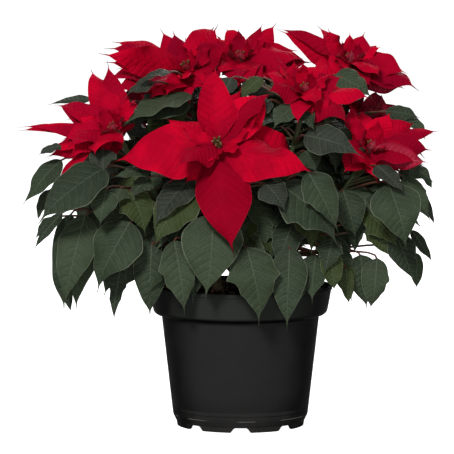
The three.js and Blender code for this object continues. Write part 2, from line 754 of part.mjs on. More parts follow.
// Leaves placed along a stem: each takes the next part of the sector, and lower ones droop more.
function shootBlades(bloom, stem) {
  const [count, middle, sector, longest] = bloom.shoots;
  return Array.from({ length: count }, (_, k) => {
    const share = (k + 0.5) / count;
    const azimuth = radians(middle + sector * (((0.618 * (k + 1)) % 1) - 0.5));
    const away = new THREE.Vector3(Math.cos(azimuth), Math.sin(azimuth), 0);
    const droop = radians(SHOOT.lowDroop + (SHOOT.highDroop - SHOOT.lowDroop) * share);
    const length = longest * (1 - SHOOT.lengthSway + SHOOT.lengthSway * Math.sin(2.1 * k + middle));
    const root = stem.getPoint(SHOOT.fromShare + (SHOOT.toShare - SHOOT.fromShare) * share);
    root.addScaledVector(away, SHOOT.petiole).addScaledVector(UP, SHOOT.rise);
    const tip = root.clone().addScaledVector(away, length * Math.cos(droop));
    tip.addScaledVector(UP, -length * Math.sin(droop));
    return {
      root,
      tip,
      width: SHOOT.width * length,
      bow: SHOOT.bow * length,
      roll: SHOOT.rollSway * Math.sin(1.7 * k + middle),
      outline: "simple",
      face: away.multiplyScalar(0.45).add(UP).normalize(),
      fold: LEAF_FOLD,
    };
  });
}

function leafBlades(bloom) {
  const face = new THREE.Vector3(0, -0.6, 0.8);
  return bloom.leaves.map(([x, y, z, tipX, tipY, tipZ, width, bow, roll, outline]) => {
    const root = new THREE.Vector3(x, y, z);
    const tip = new THREE.Vector3(tipX, tipY, tipZ);
    return { root, tip, width, bow, roll, outline, face, fold: LEAF_FOLD };
  });
}

// ---------------------------------------------------------------- the whole

const root = new THREE.Group();
root.add(meshFrom("pot", keep("pot", buildPot()), MATERIALS.pot));
root.add(meshFrom("soil", keep("soil", buildSoil()), MATERIALS.soil));
TRUNK_PLACES.forEach((_, i) => {
  const name = `trunk_${i + 1}`;
  root.add(meshFrom(name, keep(name, buildTrunk(i)), MATERIALS.trunk));
});

const plants = BLOOMS.map((bloom, i) => {
  const names = { stem: `leafy_stem_${i + 1}`, bracts: `bracts_${i + 1}`, cyathia: `cyathia_${i + 1}` };
  const curve = stemCurve(bloom);
  const stem = [keep(names.stem, bar(curve, STEM.radius, STEM.sides, STEM.steps))];
  const bracts = [keep(names.bracts, receptacle(bloom))];
  const cyathia = keep(names.cyathia, buildCyathia(bloom));
  return { bloom, names, curve, stem, bracts, cyathia };
});

// Bracts and leaves with a set place come first. Those set by rule fill what room is left.
plants.forEach(({ bloom, names, bracts }) => {
  bractBlades(bloom).forEach((blade) => bracts.push(...placeBlade(names.bracts, blade, null)));
});
plants.forEach(({ bloom, names, curve, stem }) => {
  leafBlades(bloom).forEach((blade) => stem.push(...placeBlade(names.stem, blade, curve)));
});
plants.forEach(({ bloom, names, curve, stem }) => {
  shootBlades(bloom, curve).forEach((blade) => stem.push(...placeBlade(names.stem, blade, curve)));
});

plants.forEach(({ names, stem, bracts, cyathia }) => {
  root.add(meshFrom(names.stem, fuse(stem), MATERIALS.stem));
  root.add(meshFrom(names.bracts, fuse(bracts), MATERIALS.bract));
  root.add(meshFrom(names.cyathia, cyathia, MATERIALS.cyathia));
});

export default root;
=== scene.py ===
"""Poinsettia in a black nursery pot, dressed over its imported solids.

Lengths in the tables are millimetres, as in the solids. Meshes are in metres. The plant's fuller side
faces -Y. Every bract and leaf is a closed thin skin over the blade that the solids hold in its place.
"""

import logging
import math
from collections.abc import Iterable
from dataclasses import dataclass, field, replace
from enum import Enum

import bpy
import numpy as np
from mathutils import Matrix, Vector
from mathutils.bvhtree import BVHTree


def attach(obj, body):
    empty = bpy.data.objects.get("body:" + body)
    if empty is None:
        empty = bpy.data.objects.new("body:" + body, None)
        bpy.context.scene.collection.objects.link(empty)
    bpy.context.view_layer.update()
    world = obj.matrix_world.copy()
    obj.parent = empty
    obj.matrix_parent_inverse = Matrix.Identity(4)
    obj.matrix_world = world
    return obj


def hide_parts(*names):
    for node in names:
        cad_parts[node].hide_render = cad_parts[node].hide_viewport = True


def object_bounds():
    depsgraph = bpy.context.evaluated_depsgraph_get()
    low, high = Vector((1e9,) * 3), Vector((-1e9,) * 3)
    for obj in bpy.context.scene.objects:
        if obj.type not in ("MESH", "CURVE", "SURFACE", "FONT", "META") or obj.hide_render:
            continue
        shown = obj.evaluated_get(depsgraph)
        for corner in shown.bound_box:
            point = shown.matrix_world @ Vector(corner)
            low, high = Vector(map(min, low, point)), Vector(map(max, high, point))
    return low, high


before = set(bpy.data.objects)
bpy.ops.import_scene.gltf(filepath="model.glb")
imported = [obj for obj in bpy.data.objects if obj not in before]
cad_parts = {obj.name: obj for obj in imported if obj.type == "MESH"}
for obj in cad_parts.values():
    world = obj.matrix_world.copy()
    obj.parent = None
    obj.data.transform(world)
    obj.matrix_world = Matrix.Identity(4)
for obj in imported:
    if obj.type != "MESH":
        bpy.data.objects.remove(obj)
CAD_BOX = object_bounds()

Array = np.ndarray
Draws = np.random.Generator
Piece = bpy.types.Object
Material = bpy.types.Material
Node = bpy.types.Node
Tree = bpy.types.NodeTree
Socket = bpy.types.NodeSocket
Row = tuple
Colour = tuple[float, float, float]
Scales = tuple[float, float, float]
Span = tuple[float, float]
Belt = tuple[float, float, float, float]

log = logging.getLogger("poinsettia")
MM = 0.001
UP = np.array([0.0, 0.0, 1.0])
GOLDEN_ANGLE = 137.5
VEIN_BEND = 10.0  # A side vein bends forward by this times the square of the metres that it runs out.

# The solids' own sizes, for the places that pieces start from.
GAP = 0.3
TRUNK_PLACES = ((-24.0, -20.0), (28.0, -14.0), (-2.0, 30.0))
TRUNK_TOP = 150.0
FORK_LENGTH = 24.0
HEAD_DEPTH = 13.0
BRACT_ROOTS = (-11.5, -0.2)
ROOT_SUNK = 2.0
BLADE_HALF = 0.4
PETIOLE_BELOW = (12, 28, 44, 62, 0)
BENDS = (
    (0, 0), (5, 0), (-5, 0), (0, 6), (0, -6), (10, 0), (-10, 0), (0, 12), (0, -12), (10, 12), (10, -12),
    (-10, 12), (-10, -12), (18, 0), (-18, 0), (0, 20), (0, -20), (18, 20), (18, -20), (-18, 20), (-18, -20),
    (28, 0), (-28, 0), (0, 30), (0, -30), (28, 30), (28, -30),
)
SIZES = (1.0, 0.82, 0.66)


# ------------------------------------------------------------------ small vector tools


def unit(v: Array) -> Array:
    """The vector over its own length."""
    return v / np.linalg.norm(v)


def turned(v: Array, axis: Array, degrees: float) -> Array:
    """Turns a vector about a unit axis: v cos + (axis x v) sin + axis (axis . v) (1 - cos).

    Args:
        v: The vector.
        axis: The unit axis.
        degrees: The angle, by the right-hand rule.

    Returns:
        The turned vector.
    """
    a = math.radians(degrees)
    return v * math.cos(a) + np.cross(axis, v) * math.sin(a) + axis * (axis @ v) * (1 - math.cos(a))


def level(azimuth: float) -> Array:
    """The level direction at an azimuth in radians: (cos, sin, 0)."""
    return np.array([math.cos(azimuth), math.sin(azimuth), 0.0])


def drooping(away: Array, droop: float) -> Array:
    """A level direction let down by an angle in radians: away cos - up sin."""
    return away * math.cos(droop) - UP * math.sin(droop)


def smoothstep(low: float, high: float, x: Array) -> Array:
    """0 below low, 1 above high, and 3s^2 - 2s^3 between them."""
    s = np.clip((x - low) / (high - low), 0, 1)
    return s * s * (3 - 2 * s)


def bezier(corners: Iterable[Array], t: Array) -> Array:
    """Points of a cubic Bezier curve.

    Args:
        corners: Its four control points.
        t: Parameters, 0 to 1.

    Returns:
        One point a row.
    """
    a, b, c, d = (np.asarray(p, float) for p in corners)
    t = np.atleast_1d(t)[:, None]
    s = 1 - t
    return s**3 * a + 3 * s * s * t * b + 3 * s * t * t * c + t**3 * d


# ------------------------------------------------------------------ blades


class Outline(Enum):
    """Which edges of a blade carry an angular lobe."""

    PLAIN = (False, False)
    LOBED = (True, True)
    LEFT = (True, False)
    RIGHT = (False, True)


P, B, L, R = Outline.PLAIN, Outline.LOBED, Outline.LEFT, Outline.RIGHT


class Tone(Enum):
    """The cast of one leaf's green, as the second number of its mark."""

    GREEN = 0.0
    OLIVE = 1.0
    DUSK = -1.0


@dataclass(frozen=True)
class Blade:
    """One bract or leaf blade: where it lies, and how it is bent.

    Attributes:
        root: Where the blade starts.
        tip: Where it ends.
        face: The way its upper face looks.
        fold: Rise of each half over its width.
        width: Across its widest place.
        bow: Height of its arched midrib over the straight line.
        roll: Turn about its length, in degrees.
        outline: Its lobes.
        tone: The cast of its green.
        widest: Where its solid is widest, if not where a set blade is.
    """

    root: Array
    tip: Array
    face: Array
    fold: float
    width: float
    bow: float
    roll: float = 0
    outline: Outline = Outline.PLAIN
    tone: Tone = Tone.GREEN
    widest: float | None = None

    @property
    def length(self) -> float:
        """From root to tip."""
        return float(np.linalg.norm(self.tip - self.root))

    def spine(self, t: Array) -> tuple[Array, Array, Array]:
        """The arched midrib: root + along L t + out 4 bow t (1 - t), and its normals.

        Args:
            t: Places along it, 0 to 1.

        Returns:
            Its points, its normals, and the one direction across it.
        """
        t = np.atleast_1d(t)[:, None]
        length = self.length
        along = (self.tip - self.root) / length
        out = turned(unit(self.face - along * (self.face @ along)), along, self.roll)
        points = self.root + along * length * t + out * 4 * self.bow * t * (1 - t)
        normals = out * length - along * 4 * self.bow * (1 - 2 * t)
        return points, normals / np.linalg.norm(normals, axis=1)[:, None], np.cross(along, out)

    def bent(self, droop: float, turn: float, size: float) -> "Blade":
        """The blade swung about its root, and shrunk.

        Args:
            droop: Degrees that its tip drops.
            turn: Degrees that it swings round the vertical.
            size: Share of its size.

        Returns:
            The bent blade.
        """
        reach = turned((self.tip - self.root) * size, UP, turn)
        reach = turned(reach, unit(np.cross(reach, UP)), -droop)
        return replace(self, tip=self.root + reach, width=self.width * size, bow=self.bow * size)

    def marks(self) -> Array:
        """Three places of the solid blade: its tip and both edges where it is widest."""
        widest = self.widest or (0.42 if self.outline is Outline.PLAIN else 0.4)
        points, normals, across = self.spine(np.array([1.0, widest, widest]))
        reach = np.array([0.0, -self.width / 2, self.width / 2])[:, None]
        return points + across * reach + normals * (BLADE_HALF + self.fold * np.abs(reach))


class Solid:
    """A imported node's surface, in millimetres, to find which bend its blades took."""

    near = 0.12

    def __init__(self, node: str) -> None:
        """Reads the node's mesh.

        Args:
            node: The node's name.
        """
        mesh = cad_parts[node].data
        points = np.empty(len(mesh.vertices) * 3, np.float32)
        mesh.vertices.foreach_get("co", points)
        corners = np.empty(len(mesh.loops), np.int32)
        mesh.loops.foreach_get("vertex_index", corners)
        faces = corners.reshape(-1, 3).tolist()
        self.tree = BVHTree.FromPolygons((points.reshape(-1, 3) / MM).tolist(), faces)

    def gap(self, point: Array) -> float:
        """Distance from a point to the surface."""
        return self.tree.find_nearest(Vector(point))[3]

    def settle(self, blade: Blade) -> Blade | None:
        """Finds the bend and size at which the solid holds a blade.

        Args:
            blade: The blade as it was first set.

        Returns:
            The blade as it lies in the solid, or None if the solid leaves it out.
        """
        best, most = None, 1
        for size in SIZES:
            for droop, turn in BENDS:
                trial = blade.bent(droop, turn, size)
                tip, *edges = trial.marks()
                if self.gap(tip) > self.near:
                    continue
                held = 1 + sum(self.gap(edge) < self.near for edge in edges)
                if held > most:
                    best, most = trial, held
        return best

    def stalk_start(self, blade: Blade, stem: Array) -> Array:
        """Finds where on its stem a blade's petiole starts.

        Args:
            blade: The settled blade.
            stem: 41 points along the stem.

        Returns:
            The point on the stem.
        """
        starts = []
        for below in PETIOLE_BELOW:
            near = stem[4:38]
            start = near[np.argmin(np.abs(near[:, 2] - (blade.root[2] - below)))]
            worst = max(self.gap(start + (blade.root - start) * s) for s in (0.35, 0.55, 0.75))
            starts.append((worst, start))
        return min(starts, key=lambda pair: pair[0])[1]


# ------------------------------------------------------------------ the plant's table


@dataclass(frozen=True)
class Bloom:
    """One flowering shoot, as the solids set it.

    Attributes:
        centre: Centre of the bloom.
        facing: The way it looks.
        fork: Trunk, azimuth and elevation of the fork it grows from.
        bracts: Tip right, back and up of the centre; width; bow; and a roll and an outline if it has them.
        leaves: Root; tip; width; bow; and a roll, an outline and a tone if it has them.
        ring: Bracts by rule: count, longest, shortest, first clock angle, sector.
        shoots: Leaves by rule: count, middle azimuth, sector, longest.
        extras: More bracts, as in bracts, which no solid holds.
        sprigs: More leaves, as in leaves, which no solid holds.
        filling: How many bracts fill in among the others.
        heart: How steeply the young bracts stand round the cups, in degrees.
        shade: How much painted shade may darken its bracts, each by a random share, 0 to 1.
    """

    centre: Row
    facing: Row
    fork: Row
    bracts: tuple[Row, ...] = ()
    leaves: tuple[Row, ...] = ()
    ring: Row = ()
    shoots: Row = (0, 0, 0, 0)
    extras: tuple[Row, ...] = ()
    sprigs: tuple[Row, ...] = ()
    filling: int = 5
    heart: float = 66.0
    shade: float = 0.75


O, D = Tone.OLIVE, Tone.DUSK
BLOOMS = (
    Bloom(
        (-23, -95, 297), (-0.1, -0.78, 0.62), (0, 270, 50),
        bracts=(
            (-56, 44, 26, 36, 4), (-35, 10, -43, 26, 6), (-54, 5, -42, 28, 6, 0, L), (47, 26, 39, 30, 4),
            (60, 35, 52, 30, 12, -30), (-1, 40, 80, 42, 10, -25), (11, -45, -111, 56, 12),
            (99, -10, -31, 56, 10, 0, L), (-110, 2, -13, 60, 7), (-45, -45, -9, 30, 3),
        ),
        leaves=(
            (-67, -95, 200, -55, -106, 124, 42, 4, 0, B), (-27, -100, 227, -32, -124, 142, 62, 6),
            (-46, -82, 249, -91, -96, 194, 46, 6, 0, P, O), (-51, -76, 261, -95, -106, 222, 38, 4, 0, P, D),
            (-93, -76, 262, -111, -90, 241, 22, 2, 0, B), (6, -104, 194, 23, -124, 117, 56, 5, 0, B),
            (24, -108, 258, 46, -122, 231, 32, 3, 0, P, D), (39, -92, 256, 107, -108, 201, 66, 8, 0, B),
            (9, -60, 223, 20, -75, 181, 40, 4),
        ),
        extras=((86, 73, -7, 46, 6, 22), (51, 35, 54, 42, 4, 21), (23, 47, 58, 32, -3, 13)),
        shoots=(5, 70, 220, 84),
        filling=0,
        heart=30.0,
        shade=0.1,
    ),
    Bloom(
        (-128, -50, 310), (-0.35, -0.62, 0.7), (0, 195, 45),
        bracts=(
            (-70, -10, -28, 24, 8), (-61, -30, -54, 26, 8, 20, L), (-53, 50, 10, 26, 4),
            (-103, 20, 0, 16, 4), (-29, 60, 44, 26, 8), (22, 45, 30, 28, 4), (-64, 25, 21, 24, 4),
            (-48, -40, -17, 38, 6), (-10, 25, 68, 31, -5), (-22, -62, -24, 34, 6),
        ),
        leaves=(
            (-136, -92, 273, -205, -118, 219, 54, 6), (-182, -50, 278, -222, -60, 229, 26, 4),
            (-181, -60, 225, -211, -68, 186, 14, 3), (-157, -72, 224, -179, -86, 129, 40, 5),
            (-151, -60, 205, -172, -68, 123, 30, 4), (-135, -98, 251, -141, -112, 215, 28, 3),
            (-111, -88, 218, -148, -102, 146, 54, 5), (-120, -70, 176, -131, -74, 112, 18, 4, 0, B),
            (-139, -78, 290, -138, -98, 267, 28, 3, 0, P, D), (-90, -82, 194, -93, -80, 118, 36, 4),
            (-91, -82, 270, -129, -92, 262, 20, 3), (-112, -75, 248, -94, -88, 204, 42, 5, 0, B, O),
            (-121, -80, 251, -121, -90, 227, 26, 3, 0, B),
        ),
        extras=(
            (-78, -6, -22, 16, 4, -14), (-55, -14, -11, 26, 6, -24), (-50, -30, -28, 24, 6, -29, L),
            (-20, 30, 29, 26, -3, -2), (10, 40, 23, 26, 3, 21), (-25, 38, 62, 30, 3, 3),
            (-63, 28, 27, 28, 3, -19), (-80, 10, -2, 18, 3, -25), (-71, -12, -28, 22, 3, -29),
            (-10, -34, -35, 20, 3, -12), (-103, 20, 1, 12, 3, -24),
        ),
        sprigs=(
            (-173, -52, 223, -184, -66, 124, 30, 4), (-124, 6, 319, -93, 0, 293, 32, 3, 0, P, D),
            (-195, -30, 246, -209, -34, 213, 14, 3), (-188, -44, 218, -211, -48, 196, 16, 3),
            (-181, -60, 292, -205, -64, 284, 14, 3, 0, P, D), (-178, -60, 154, -173, -62, 122, 10, 2),
        ),
        shoots=(5, 120, 220, 88),
        filling=0,
    ),
    Bloom(
        (-56, 20, 369), (-0.1, -0.62, 0.78), (0, 110, 72),
        bracts=(
            (-74, -8, -1, 34, 6), (-47, -45, -26, 22, 4), (3, -55, -36, 34, 5), (36, -42, -16, 34, 5),
            (-86, 8, 16, 28, 6), (-80, 30, 30, 36, 5, 0, L), (-28, 45, 37, 40, -4, 0, B),
            (41, 12, 28, 40, -4), (30, 40, 46, 38, -4), (-23, -50, -32, 36, 6), (-1, 46, 31, 34, -3),
        ),
        leaves=((-52, -16, 337, -126, -42, 309, 36, 6), (-154, 20, 336, -201, 20, 330, 14, 3)),
        extras=(
            (-85, -30, -7, 36, 5, -39), (-76, -40, -19, 36, 5, -38), (-41, -50, -28, 28, 5, -32),
            (-84, -60, 17, 34, 4, -53), (-80, -50, 8, 30, 4, -44), (29, 62, 48, 36, 3, 18),
            (-14, 38, 38, 30, -3, -5), (20, -40, -19, 28, 6, 12), (-47, -64, -15, 12, 3, 150),
            (0, -54, -2, 20, -5, -2),
        ),
        sprigs=(
            (-70, -40, 367, -109, -44, 355, 16, 3, 20, P, D),
            (-88, -34, 356, -121, -36, 340, 16, 3, 0, P, D), (-51, -22, 344, -130, -62, 309, 44, 5, 20),
            (-75, 4, 351, -105, -2, 330, 22, 3, 0, P, D),
        ),
        shoots=(5, 150, 300, 92),
    ),
    Bloom(
        (0, 60, 378), (0.05, -0.5, 0.86), (2, 90, 80),
        bracts=(
            (37, 40, 17, 26, 4), (74, -12, -2, 36, 8), (-24, -45, -20, 32, 5), (-2, -52, -29, 36, 5),
            (32, -46, -28, 34, 5), (-30, 34, 24, 38, -4), (39, 22, 36, 28, -4), (-15, 12, 22, 34, -3),
            (63, 20, 8, 30, 4),
        ),
        ring=(1, 66, 66, 95, 60),
        extras=(
            (75, -10, -5, 34, 3, 44), (66, 2, 3, 30, 3, 43), (10, -58, -25, 34, 6, 9),
            (24, -48, -21, 34, 6, 23), (-7, -56, -24, 32, 6, -4), (-17, -30, -12, 30, 4, -22),
            (54, -30, -10, 32, 5, 38), (26, 28, 35, 20, -3, 14), (-13, 32, 32, 24, 3, -10),
        ),
        shoots=(6, 180, 340, 88),
        filling=2,
    ),
    Bloom(
        (65, -45, 349), (0.05, -0.6, 0.8), (1, 270, 70),
        bracts=(
            (70, 0, -7, 30, 5), (47, -30, -33, 36, 6), (-40, -25, -5, 28, 5), (32, 30, 15, 28, 4),
            (-43, 11, 19, 34, 4), (-12, 20, 31, 36, -4), (-9, -52, -31, 22, 4),
        ),
        leaves=(
            (49, -90, 191, 46, -108, 109, 38, 5), (58, -80, 178, 48, -98, 120, 30, 4),
            (67, -98, 269, 97, -116, 208, 40, 5, 0, R), (64, -70, 304, 125, -92, 285, 36, 5, 15, P, D),
            (55, -60, 333, 29, -100, 320, 28, 4), (55, -60, 333, 69, -92, 318, 26, 4),
            (93, -80, 201, 84, -98, 165, 28, 3, 0, B), (76, -70, 183, 69, -98, 138, 38, 4, 0, B),
            (65, -50, 287, 78, -60, 265, 26, 3),
        ),
        extras=(
            (25, -21, -22, 32, 6, 11), (12, -39, -12, 24, 5, 10), (42, 35, 4, 30, 4, 29, B),
            (14, 31, 27, 30, -3, 8), (-29, 25, 23, 28, 3, -22), (-4, 45, 30, 28, -3, -5),
        ),
        sprigs=(
            (90, -84, 189, 94, -90, 147, 24, 3, 0, P, O), (22, 0, 359, -1, -10, 337, 18, 3, 0, P, O),
            (8, 14, 358, 24, 6, 332, 30, 3, 0, P, D), (-9, 6, 359, -17, -2, 338, 18, 3, 0, P, D),
            (30, -50, 339, 5, -60, 315, 26, 4, 0, P, D), (107, -60, 169, 109, -64, 130, 14, 3, 0, P, O),
        ),
        shoots=(5, 120, 300, 84),
    ),
    Bloom(
        (114, 45, 376), (0.15, -0.5, 0.85), (1, 60, 68),
        bracts=(
            (59, 22, -29, 42, 6), (73, -20, -29, 50, 10, 10), (30, 55, 17, 30, 4), (4, -50, -26, 36, 5),
            (32, -50, -14, 28, 5), (-40, -48, -15, 36, 5), (-31, 35, 38, 24, -3),
            (16, 24, 29, 44, -4, 0, B), (-74, 4, 35, 26, -4, -25),
        ),
        leaves=(
            (97, -2, 362, 137, -10, 339, 34, 4, 15), (149, 0, 324, 186, 0, 317, 22, 3),
            (164, -10, 275, 199, -14, 251, 26, 3),
        ),
        extras=(
            (-22, -37, -11, 34, 5, -22), (-8, -43, -23, 34, 6, -3), (20, -35, -26, 32, 6, 14),
            (45, -31, -28, 26, 5, 34), (-29, 5, 10, 28, 3, -32), (31, -5, -15, 28, 3, 32),
            (55, -23, -32, 26, 3, -140), (60, -18, -13, 34, 5, 28), (-76, 11, 36, 16, 4, -27),
        ),
        sprigs=((119, -6, 353, 106, -14, 329, 26, 4, 0, P, D), (163, 6, 324, 194, 0, 295, 18, 4)),
        shoots=(4, 90, 300, 90),
        filling=2,
    ),
    Bloom(
        (132, -40, 290), (0.35, -0.6, 0.72), (1, 330, 45),
        bracts=(
            (50, 22, -25, 30, 5), (-31, -35, -23, 30, 5), (73, 40, 14, 16, 5), (57, -20, -16, 40, 6),
            (50, 30, 24, 42, 4, 0, B), (-19, 14, 46, 28, -3), (21, 22, 38, 30, -3),
        ),
        ring=(1, 50, 50, 80, 70),
        leaves=(
            (149, -72, 255, 169, -96, 190, 52, 5), (157, -40, 203, 178, -48, 147, 30, 4),
            (175, -25, 204, 197, -30, 168, 14, 3), (166, -30, 260, 195, -38, 210, 30, 4, 0, B),
            (137, -62, 273, 166, -94, 250, 24, 3, 0, P, D), (162, -20, 265, 190, -25, 245, 24, 3, 0, B),
            (102, -55, 174, 112, -58, 131, 22, 3, 0, P, O), (122, -48, 181, 132, -50, 124, 34, 4),
            (126, -42, 226, 163, -50, 186, 38, 4, 0, B, O), (104, -50, 247, 117, -60, 197, 36, 4),
        ),
        extras=(
            (32, -6, -23, 30, 6, 14), (-20, -34, -17, 30, 6, -5), (56, 10, -3, 30, 4, 22),
            (44, 32, 8, 30, 3, 21), (-7, 26, 41, 26, -3, -17), (-26, 0, 8, 24, 4, -29),
            (74, 36, 21, 20, 3, 26), (59, -34, -15, 26, 4, -131), (64, 6, -1, 30, 4, 26),
        ),
        sprigs=(
            (139, -52, 178, 135, -60, 124, 30, 4, 0, L), (124, -40, 214, 154, -46, 177, 24, 4, 0, B, O),
            (189, -10, 238, 199, -14, 207, 8, 2), (122, -40, 221, 114, -46, 181, 20, 4, 0, B),
            (178, -20, 181, 183, -24, 142, 16, 2), (179, -12, 269, 199, -14, 245, 12, 2),
        ),
        shoots=(4, 60, 180, 88),
    ),
    Bloom(
        (-128, 78, 316), (-0.5, 0.4, 0.77), (2, 170, 48),
        ring=(8, 84, 50, 20, 360), shoots=(5, 165, 250, 100), filling=9,
    ),
    Bloom(
        (-45, 148, 322), (-0.15, 0.62, 0.77), (2, 115, 48),
        ring=(8, 88, 52, 100, 360), shoots=(5, 110, 220, 104), filling=9,
    ),
    Bloom(
        (58, 146, 326), (0.2, 0.6, 0.78), (2, 60, 48),
        ring=(8, 86, 52, 45, 360), shoots=(5, 65, 220, 104), filling=9,
    ),
    Bloom(
        (138, 84, 312), (0.5, 0.42, 0.75), (1, 30, 42),
        ring=(8, 82, 50, 75, 360), shoots=(5, 35, 220, 86), filling=9,
    ),
)
RING_OUTLINES = (B, P, P, P, P)
FILLING_OUTLINES = (P, B, P, L)
SHOOT_OUTLINES = (P, B, P, R, L)
RULE_WIDEST = 0.32
YOUNG_BRACTS = 8
CUPS = 6
STAMENS = 3


@dataclass(frozen=True)
class Shoot:
    """The lines that one bloom's pieces are set on.

    Attributes:
        bloom: Its row of the table.
        bract_fold: Fold of a bract.
        leaf_fold: Fold of a leaf.
    """

    bloom: Bloom
    bract_fold: float = -0.1
    leaf_fold: float = 0.14

    @property
    def centre(self) -> Array:
        """Centre of the bloom."""
        return np.array(self.bloom.centre, float)

    @property
    def facing(self) -> Array:
        """The way the bloom looks."""
        return unit(np.array(self.bloom.facing, float))

    @property
    def axes(self) -> tuple[Array, Array]:
        """Directions to the right and to the top of the bloom's face."""
        right = unit(np.cross(np.array([0.0, 1.0, 0.0]), self.facing))
        return right, np.cross(self.facing, right)

    def around(self, clock: float) -> Array:
        """The direction in the bloom's face at a clock angle, in radians: right cos + top sin."""
        right, top = self.axes
        return right * math.cos(clock) + top * math.sin(clock)

    def lifted(self, sideways: Array, lift: float) -> Array:
        """A direction in the face raised towards the viewer of it: sideways cos + facing sin."""
        return sideways * math.cos(lift) + self.facing * math.sin(lift)

    @property
    def fork(self) -> tuple[Array, Array, Array]:
        """Start, direction and end of the fork that carries the stem."""
        trunk, azimuth, elevation = self.bloom.fork
        a, e = math.radians(azimuth), math.radians(elevation)
        way = np.array([math.cos(e) * math.cos(a), math.cos(e) * math.sin(a), math.sin(e)])
        start = np.array([*TRUNK_PLACES[trunk], TRUNK_TOP])
        return start, way, start + way * FORK_LENGTH

    def stem(self, t: Array) -> Array:
        """Points of the stem: a cubic curve straight on from the fork and up into the bloom."""
        _, way, end = self.fork
        first = end + way * GAP
        last = self.centre - self.facing * (HEAD_DEPTH + GAP)
        span = np.linalg.norm(last - first)
        return bezier((first, first + way * 0.35 * span, last - self.facing * 0.3 * span, last), t)

    def ring_rows(self) -> list[Row]:
        """Bracts by rule: each a golden angle on, the later ones shorter and lifted more."""
        if not self.bloom.ring:
            return []
        count, longest, shortest, first, sector = self.bloom.ring
        rows = []
        for k in range(count):
            share = k / (count - 1) if count > 1 else 0.0
            clock = math.radians(first + (GOLDEN_ANGLE * k if sector == 360 else sector * share))
            lift = math.radians(-14 + 30 * share)
            length = longest + (shortest - longest) * share
            tip = self.lifted(self.around(clock), lift) * length
            rows.append((*tip, 0.5 * length, 0.1 * length, 0, RING_OUTLINES[k % 5]))
        return rows

    def bracts(self) -> list[Blade]:
        """The bracts that the bloom's solid holds."""
        return self.bract_blades([*self.ring_rows(), *self.bloom.bracts])

    def extra_bracts(self) -> list[Blade]:
        """The bloom's further bracts."""
        return self.bract_blades(list(self.bloom.extras)) if self.bloom.extras else []

    def bract_blades(self, rows: list[Row]) -> list[Blade]:
        """Bracts from rows of the table, the most lifted rooted highest.

        Args:
            rows: Rows like those of the table's bracts.

        Returns:
            The blades.
        """
        facing = self.facing
        rows.sort(key=lambda row: unit(np.array(row[:3], float)) @ facing)
        low, high = BRACT_ROOTS
        blades = []
        for k, row in enumerate(rows):
            tip = np.array(row[:3], float)
            height = low + (high - low) * k / (len(rows) - 1)
            sideways = unit(tip - facing * (tip @ facing))
            root = self.centre + facing * height + sideways * ROOT_SUNK
            blades.append(Blade(root, tip + self.centre, facing, self.bract_fold, *row[3:]))
        return blades

    def set_leaves(self, rows: tuple[Row, ...]) -> list[Blade]:
        """Leaves with a set place, facing up and forward."""
        face = np.array([0.0, -0.6, 0.8])
        blades = []
        for row in rows:
            root, tip = np.array(row[:3], float), np.array(row[3:6], float)
            blades.append(Blade(root, tip, face, self.leaf_fold, *row[6:]))
        return blades

    def rule_leaves(self) -> list[Blade]:
        """Leaves along the stem by rule, the lower ones drooping more."""
        count, middle, sector, longest = self.bloom.shoots
        blades = []
        for k in range(count):
            share = (k + 0.5) / count
            azimuth = math.radians(middle + sector * ((0.618 * (k + 1)) % 1 - 0.5))
            away = level(azimuth)
            droop = math.radians(58 - 36 * share)
            length = longest * (0.82 + 0.18 * math.sin(2.1 * k + middle))
            root = self.stem(np.array([0.3 + 0.58 * share]))[0] + away * 36 + UP * 12
            tip = root + drooping(away, droop) * length
            roll = 14 * math.sin(1.7 * k + middle)
            face = unit(away * 0.45 + UP)
            outline = SHOOT_OUTLINES[k % 5]
            size = (0.52 * length, 0.1 * length)
            blades.append(Blade(root, tip, face, self.leaf_fold, *size, roll, outline, widest=RULE_WIDEST))
        return blades


# ------------------------------------------------------------------ meshes


def placed(name: str, data: bpy.types.ID) -> Piece:
    """A new object of some data, linked into the scene."""
    made = bpy.data.objects.new(name, data)
    bpy.context.scene.collection.objects.link(made)
    return made


